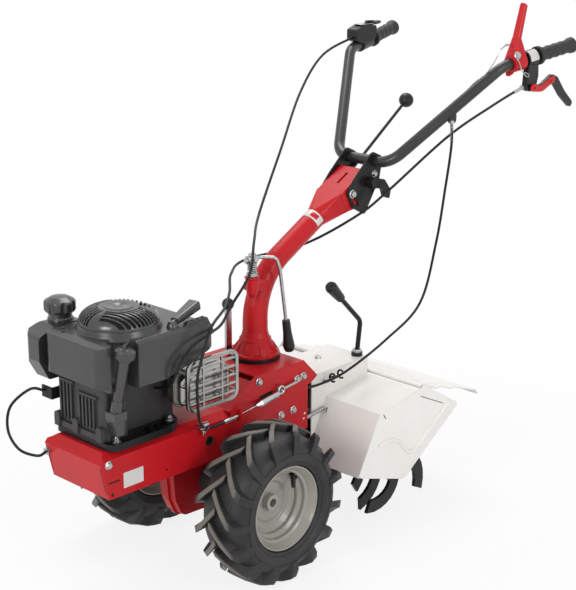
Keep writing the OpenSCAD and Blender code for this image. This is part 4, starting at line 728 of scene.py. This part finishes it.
# fine raised rings on the tyres' outer walls, as radius, reach and wire
axleHeight = axle[2] * 1000
wallRings = [(117.4, 254.1, 1.3), (98.5, 248.6, 1.0)]
for sideName, side in bothSides:
    addDetail(sideName + "WallRings", [ring((0, side * y, axleHeight), left, r, wire, 97, 8)
                                       for r, y, wire in wallRings], "tyreRubber", sideName + "_wheel")

# valve stem turned about a line that leans inward through the rim's opening
valve = dict(radius=74, out=208, lean=(0.8, 0.6), profile=[(0, 0), (7.5, 0), (7.5, 3), (5.6, 6), (5.2, 22),
                                                           (4.6, 23), (4.6, 33), (3.8, 34.5), (0, 34.5)])
radial = np.array([-1, 0, 1]) / math.sqrt(2)
inward, outward = valve["lean"]
for sideName, side in bothSides:
    foot = valve["radius"] * radial + (0, side * valve["out"], axleHeight)
    lean = (0, side * outward, 0) - inward * radial
    addDetail(sideName + "Valve", [turned(valve["profile"], foot, lean, 24)], "blackPlastic",
              sideName + "_wheel")
print("chassis and wheel details added")

# starter dome: an elliptic crown turned about its axis, with three fields of parallel slots pressed in;
# a point sinks along the crown's normal where it is near a slot's middle line and within the slot's ends
dome = dict(top=38, rise=30, fields=(-6, 114, 234), first=7, step=8.3, count=10, halfWidth=2.5, depth=6,
            inner=41, floor=6, start=-6, soft=0.6, dark=1.8, sharp=50, rows=80, columns=720,
            cap=[(33, 30), (30.6, 30), (29.8, 31.2), (6, 31.2), (5, 30.4), (0, 30.4)])


def slottedDome(s):
    low, high = (np.array(corner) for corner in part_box("starter_dome"))
    middle = (low + high) / 2
    crown = (high[0] - low[0]) * 500 - s["top"]
    t = np.linspace(0, math.pi / 2, s["rows"])
    capRadius, capHeight = np.array(s["cap"]).T
    r = np.concatenate([[0], s["top"] + crown * np.cos(t), capRadius])[:, None]
    z = np.concatenate([[0], s["rise"] * np.sin(t), capHeight])[:, None]
    slope = np.arctan2(crown * np.sin(t), s["rise"] * np.cos(t))
    lean = np.concatenate([[0], slope, 0 * capRadius])[:, None]
    a = np.linspace(0, 2 * math.pi, s["columns"], endpoint=False)[None, :]

    def inside(gap):
        return np.clip(gap / s["soft"] + 0.5, 0, 1)

    groove = np.zeros((len(r), s["columns"]))
    for turn in np.radians(s["fields"]):
        run, off = r * np.cos(a - turn), r * np.sin(a - turn)
        slot = np.clip(np.round((s["first"] - off) / s["step"]), 0, s["count"] - 1)
        aside = abs(off - s["first"] + s["step"] * slot)
        groove = np.maximum(groove, inside(s["halfWidth"] - aside) * inside(run - s["start"])
                            * inside(r - s["inner"]) * inside(z - s["floor"]))
    sink = s["depth"] * groove
    r, z = r - sink * np.cos(lean), z - sink * np.sin(lean)
    grid = np.stack([r * np.cos(a), r * np.sin(a), z], -1) / 1000
    # the groove share, raised by dark and clipped, is the mask of painted shade for the slots
    return grid + (middle[0], middle[1], low[2]), np.clip(s["dark"] * groove, 0, 1)


domeGrid, slotShadeMask = slottedDome(dome)
# the piece carries the painted slot shade mask as its groove attribute
domePiece = addPiece("slottedDome", [patch(domeGrid)], finishes["domePlastic"], "tractor",
                     dome["sharp"], slotShadeMask.ravel())
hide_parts("starter_dome")

# plunger's collar, spring, nuts and cap; ball of the shift lever
plunger = dict(
    middle=(-117, 25, 0), springFrom=(-117, 25, 595), springTo=(-117, 25, 615), radius=9.6, wire=2.2, turns=5,
    collar=[(7.4, 586), (12, 586), (12.4, 590), (11.6, 594), (7.4, 594.5), (7.4, 586)],
    nuts=[((-105, 25, 622), along, 7), ((-117, 17, 622), right, 6), ((-117, 33, 622), left, 6)],
    cap=[(0, 628), (8, 628), (8, 634), (6.8, 635.4), (0, 635.4)])
addDetail("plungerTrim", [
    turned(plunger["collar"], plunger["middle"], up),
    coil(plunger["springFrom"], plunger["springTo"], plunger["radius"], plunger["wire"], plunger["turns"]),
    *bolts(plunger["nuts"]), hexed(plunger["cap"], plunger["middle"], up)], "zincSteel", "column")

shiftBall = dict(place=(-129, -62, 503.5), radius=13.4, neck=[(0, -14), (5.2, -13.6)], sweep=(-1.18, 1.5708))
ballTurn = np.linspace(*shiftBall["sweep"], 15)
ballCurve = [(shiftBall["radius"] * math.cos(a), shiftBall["radius"] * math.sin(a)) for a in ballTurn]
addDetail("shiftBall", [turned(shiftBall["neck"] + ballCurve, shiftBall["place"], up)], "blackPlastic")

# blank band round the column below its head, and a plain field on it
columnAt = dict(middle=(-326.8, 0, 664.2), axis=(-0.866, 0, 0.5))
columnLabels = dict(columnBand=("labelFoil", dict(radius=23.6, turn=(60, 186), n=41, width=21, thick=0.7)),
                    columnField=("redPlastic", dict(radius=24.0, turn=(106, 152), n=21, width=12, thick=0.5)))
for labelName, (labelFinish, settings) in columnLabels.items():
    addDetail(labelName, [band(**columnAt, **settings)], labelFinish, "column")

# guide and pivot fasteners of the head
headBolts = [((-411, 40.6, 717), left, 7.5), ((-411, -40.6, 717), right, 7.5),
             ((-466, -40.6, 735), right, 10)]
plateBolts = [((-483, 40.4, 752), left, 6), ((-483, -40.4, 752), right, 6.5)]
addDetail("headBolts", bolts(headBolts), "zincSteel", "column")
addDetail("plateBolts", bolts(plateBolts), "zincSteel", "handlebar")
print("column details added")

# link of the clutch lever with its two eyes, given as place, radius and hole
clutchLink = dict(
    path=[(-763, 937), (-780, 933.5), (-796, 933), (-808, 937), (-820, 943), (-834, 948.5), (-843, 947)],
    face=259.1, lift=1.5, width=15, thick=3.4, ease=0.4, eyes=[(-763, 937, 9, 3), (-826, 946, 7.5, 2.4)],
    eyeHeight=5.2, eyeEase=0.8, holeFloor=3, pinTop=(4.3, 4.5))
linkPath = [(x, clutchLink["face"] + clutchLink["lift"], z) for x, z in clutchLink["path"]]
linkParts = [bar(smoothLine(linkPath, 5), clutchLink["thick"], clutchLink["width"], left, clutchLink["ease"])]
linkPins = []
for x, z, r, hole in clutchLink["eyes"]:
    place, floor, top = (x, clutchLink["face"], z), clutchLink["holeFloor"], clutchLink["eyeHeight"]
    ease, (pinEdge, pinMiddle) = clutchLink["eyeEase"], clutchLink["pinTop"]
    linkParts.append(turned([(0, 0), (r, 0), (r, top - ease), (r - ease, top), (hole, top), (hole, floor),
                             (0, floor)], place, left, 28))
    linkPins.append(turned([(0, floor), (hole + 0.1, floor), (hole - 0.2, pinEdge), (0, pinMiddle)],
                           place, left, 20))
addDetail("clutchLink", linkParts, "redPlastic", "handlebar")
addDetail("clutchLinkPins", linkPins, "cableSheath", "handlebar")

# blank label round the clutch collar
barAway = np.array([0.968, -0.193, -0.159])
gripEnd = np.array([-896.0, 264, 1020])
collarLabel = dict(radius=18.7, turn=(-12, 78), n=25, width=24, thick=0.6)
collarStation = 127
addDetail("collarLabel", [band(gripEnd + collarStation * barAway, barAway, **collarLabel)], "labelFoil",
          "handlebar")

# reverse lever: screw, bent spring, inner wire round the bar, lug under the bar with its nut and spring
reverseSet = dict(
    screw=((-718.8, 244.8, 1011), (0.22, 0.95, 0.2), 6.5), springWire=1.3, wireRadius=1.2,
    sleeve=(8, 22, 2.6),
    spring=[(-716, 247, 1008), (-712, 250.5, 1003), (-717, 252, 996), (-722, 253, 985), (-728, 254, 975),
            (-742, 256, 963), (-750, 256, 964), (-744, 256, 970), (-733, 254, 973)],
    wire=[(-728, 230, 1030), (-706, 228, 1034), (-692, 225.5, 1031), (-683, 223, 1021), (-677, 220, 1008),
          (-671, 213, 990), (-662, 201, 970), (-648, 180, 949), (-630, 161, 917), (-614, 155, 890),
          (-602, 161, 874)],
    nut=(-599, 163, 872), nutProfile=[(0, 0), (6.6, 0), (6.6, 6), (5.6, 7), (0, 7)],
    coil=dict(a=(-599, 163, 866), b=(-598, 165, 822), radius=3.5, wire=1.5, turns=15),
    tabFrom=(-603, 160, 893), tabAlong=(-0.79, 0.61, 0), tabReach=((0, 9), (0, 20), 10),
    tabThick=4, tabEdge=0.6)
reverseWire = smoothLine(reverseSet["wire"], 8)
sleeveFrom, sleeveTo, sleeveRadius = reverseSet["sleeve"]
addDetail("reverseTrim", [
    *bolt(*reverseSet["screw"]), tube(smoothLine(reverseSet["spring"], 6), reverseSet["springWire"], 8),
    tube(reverseWire, reverseSet["wireRadius"], 8), tube(reverseWire[sleeveFrom:sleeveTo], sleeveRadius, 10),
    hexed(reverseSet["nutProfile"], reverseSet["nut"], down), coil(**reverseSet["coil"])],
    "zincSteel", "handlebar")
tabSide = np.cross(reverseSet["tabAlong"], down)
tabBase = np.array(reverseSet["tabFrom"]) - reverseSet["tabThick"] / 2 * tabSide
addDetail("reverseTab", [plate(capsule(*reverseSet["tabReach"]), tabBase, reverseSet["tabAlong"], down,
                               tabSide, reverseSet["tabThick"], reverseSet["tabEdge"])],
          "barPaint", "handlebar")

# adjuster at the clutch cable's upper end
adjuster = dict(start=(-763.5, 239.2, 940.1), end=(-733.5, 225.7, 924.1),
                profile=[(0, 0), (5.6, 0), (5.6, 7), (6.4, 7.4), (6.4, 12), (4.6, 13), (4.2, 32), (0, 32)])
adjusterWay = np.subtract(adjuster["end"], adjuster["start"])
addDetail("clutchAdjuster", [hexed(adjuster["profile"], adjuster["start"], adjusterWay)], "zincSteel",
          "handlebar")

# throttle box: bright cover on its top and the low thumb piece behind it
throttleTrim = dict(cover=(-775, -726, -243, -217), corner=4, level=1041.8, coverThick=1.4, coverEdge=0.4,
                    thumb=[(-772, -224, 1043), (-786, -226, 1043), (-800, -229, 1044)],
                    thumbWidth=16, thumbThick=7, thumbEase=0.35)
addDetail("throttleCover", [plate(roundRect(*throttleTrim["cover"], throttleTrim["corner"]),
                                  (0, 0, throttleTrim["level"]), along, left, up, throttleTrim["coverThick"],
                                  throttleTrim["coverEdge"])], "zincSteel", "handlebar")
addDetail("throttleThumb", [bar(smoothLine(throttleTrim["thumb"], 5), throttleTrim["thumbWidth"],
                                throttleTrim["thumbThick"], left, throttleTrim["thumbEase"])],
          "blackPlastic", "handlebar")
print("handlebar details added")

# open clips on short feet that hold the reverse cable off the cover's side
hookSet = dict(stations=[(-300, 90, 329), (-322, 94, 333.5)], side=62, reach=9, wire=2.2, opening=(50, 310))
hooks = []
for x, y, z in hookSet["stations"]:
    inner = y - hookSet["reach"]
    hooks.append(tube(arc((x, y, z), along, hookSet["reach"], *hookSet["opening"], 21), hookSet["wire"], 10))
    hooks.append(tube([(x, hookSet["side"] - 2, z - 16), (x, inner - 4, z - 9), (x, inner + 1, z - 4)],
                      hookSet["wire"], 10))
addDetail("cableHooks", hooks, "cableSheath")

# raised line on the hood's ends; slits on its left end and one on its front, drawn as dark strips of painted
# shade
hoodTrim = dict(
    face=220, lift=0.4, width=8.4, thick=9, ease=0.48, slitDepth=0.25, slitEdge=0.1,
    bead=[(-305.5, 202.6), (-330, 206), (-352.6, 204.7), (-377.7, 191.9), (-394.3, 172), (-411.8, 159.7),
          (-431.6, 160.9), (-467.2, 183.1), (-548.4, 240.8)],
    slits=[((-322, 270.6), (-329, 261), 1.2), ((-447.7, 280.7), (-527.8, 242.9), 0.8)],
    frontSlit=((0, 0), (11, 0), 1.2), frontFrom=(-299.9, 75, 254.8), frontDown=(0.47, 0, -0.883),
    frontOut=(0.883, 0, 0.47))
beadPath = smoothLine([(x, hoodTrim["face"] + hoodTrim["lift"], z) for x, z in hoodTrim["bead"]])
addDetail("hoodBead", [bar(beadPath * (1, side, 1), hoodTrim["width"], hoodTrim["thick"], left,
                           hoodTrim["ease"]) for sideName, side in bothSides], "whitePaint")
# the slits are thin dark strips of painted shade on the hood
slitCut = (hoodTrim["slitDepth"], hoodTrim["slitEdge"])
addDetail("hoodSlitShade", [onSide(capsule(*slit), hoodTrim["face"], *slitCut) for slit in hoodTrim["slits"]]
          + [plate(capsule(*hoodTrim["frontSlit"]), hoodTrim["frontFrom"], hoodTrim["frontDown"], left,
                   hoodTrim["frontOut"], *slitCut)], "cableSheath")

# cover's bolt and the nut ring at the lever's foot
coverBolts = dict(bolt=((-360, -11, 336), up, 6), nut=(-438, 38, 343.8),
                  nutProfile=[(6, 0), (11.5, 0), (11.5, 6), (10, 7.4), (6, 7.4), (6, 0)])
addDetail("coverBolts", [*bolt(*coverBolts["bolt"]), hexed(coverBolts["nutProfile"], coverBolts["nut"], up)],
          "zincSteel")
print("tiller details added")


# Floor, light and backdrop
stageSet = dict(half=60, level=-0.0004, color=(0.86, 0.86, 0.86, 1), near=0.55, far=1.5, nearWhite=0.84,
                skyLight=0.55)


# flat square whose camera side fades from part white near the object to white further away
def makeStage(s):
    side = np.linspace(-s["half"], s["half"], 2)
    grid = np.stack(np.meshgrid(side, side, indexing="ij"), -1)
    points = np.concatenate([grid, np.full((2, 2, 1), s["level"])], -1)
    mesh = bpy.data.meshes.new("floor")
    mesh.from_pydata(points.reshape(-1, 3).tolist(), [], [(0, 2, 3, 1)])
    floor = bpy.data.objects.new("floor", mesh)
    bpy.context.scene.collection.objects.link(floor)
    mat = bpy.data.materials.new("paleFloor")
    mat.use_nodes = True
    tree = mat.node_tree
    tree.nodes.clear()
    link = tree.links.new
    out = addNode(tree, "ShaderNodeOutputMaterial")
    matt = addNode(tree, "ShaderNodeBsdfDiffuse", {"Color": s["color"]})
    white = addNode(tree, "ShaderNodeEmission", {"Color": (1, 1, 1, 1), "Strength": 1.0})
    rays = addNode(tree, "ShaderNodeLightPath")
    seen = addNode(tree, "ShaderNodeMath", operation="MAXIMUM")
    share = addNode(tree, "ShaderNodeMath", operation="MULTIPLY")
    place = addNode(tree, "ShaderNodeTexCoord")
    away = addNode(tree, "ShaderNodeVectorMath", operation="LENGTH")
    fade = addNode(tree, "ShaderNodeMapRange", {"From Min": s["near"], "From Max": s["far"],
                                                "To Min": s["nearWhite"], "To Max": 1.0},
                   interpolation_type="SMOOTHSTEP")
    mix = addNode(tree, "ShaderNodeMixShader")
    link(place.outputs["Object"], away.inputs[0])
    link(away.outputs["Value"], fade.inputs["Value"])
    link(fade.outputs["Result"], share.inputs[1])
    link(rays.outputs["Is Camera Ray"], seen.inputs[0])
    link(rays.outputs["Is Glossy Ray"], seen.inputs[1])
    link(seen.outputs["Value"], share.inputs[0])
    link(share.outputs["Value"], mix.inputs["Fac"])
    link(matt.outputs["BSDF"], mix.inputs[1])
    link(white.outputs["Emission"], mix.inputs[2])
    link(mix.outputs["Shader"], out.inputs["Surface"])
    mesh.materials.append(mat)


# white where the camera, gloss or glass sees it, a plain sky light elsewhere
def makeWorld(s):
    world = bpy.data.worlds.new("studio")
    bpy.context.scene.world = world
    world.use_nodes = True
    tree = world.node_tree
    link = tree.links.new
    back = tree.nodes["Background"]
    back.inputs["Color"].default_value = (1, 1, 1, 1)
    rays = addNode(tree, "ShaderNodeLightPath")
    seen = addNode(tree, "ShaderNodeMath", operation="MAXIMUM")
    seenAll = addNode(tree, "ShaderNodeMath", operation="MAXIMUM")
    level = addNode(tree, "ShaderNodeMapRange", {"To Min": s["skyLight"], "To Max": 1.0})
    link(rays.outputs["Is Camera Ray"], seen.inputs[0])
    link(rays.outputs["Is Glossy Ray"], seen.inputs[1])
    link(seen.outputs["Value"], seenAll.inputs[0])
    link(rays.outputs["Is Transmission Ray"], seenAll.inputs[1])
    link(seenAll.outputs["Value"], level.inputs["Value"])
    link(level.outputs["Result"], back.inputs["Strength"])


lampSet = dict(
    overhead=dict(place=(-0.8, -1.0, 3.0), aim=(0, 0, 0.3), size=1.5, power=42),
    front=dict(place=(3.2, 0.6, 1.7), aim=(0, 0, 0.4), size=1.1, power=38),
    left=dict(place=(0.2, 3.2, 1.5), aim=(0, 0, 0.4), size=1.1, power=27))


def addLamp(name, s):
    data = bpy.data.lights.new(name, "AREA")
    data.shape = "SQUARE"
    data.size = s["size"]
    data.energy = s["power"]
    lamp = bpy.data.objects.new(name, data)
    place, aim = np.array(s["place"]), np.array(s["aim"])
    u, v, w = axisFrame(place - aim)
    turn = np.eye(4)
    turn[:3] = np.stack([u, v, w, place], axis=1)
    lamp.matrix_world = Matrix(turn.tolist())
    bpy.context.scene.collection.objects.link(lamp)


makeStage(stageSet)
makeWorld(stageSet)
for lampName, settings in lampSet.items():
    addLamp(lampName, settings)
bpy.context.scene.view_settings.view_transform = "Standard"
print("stage and light set")
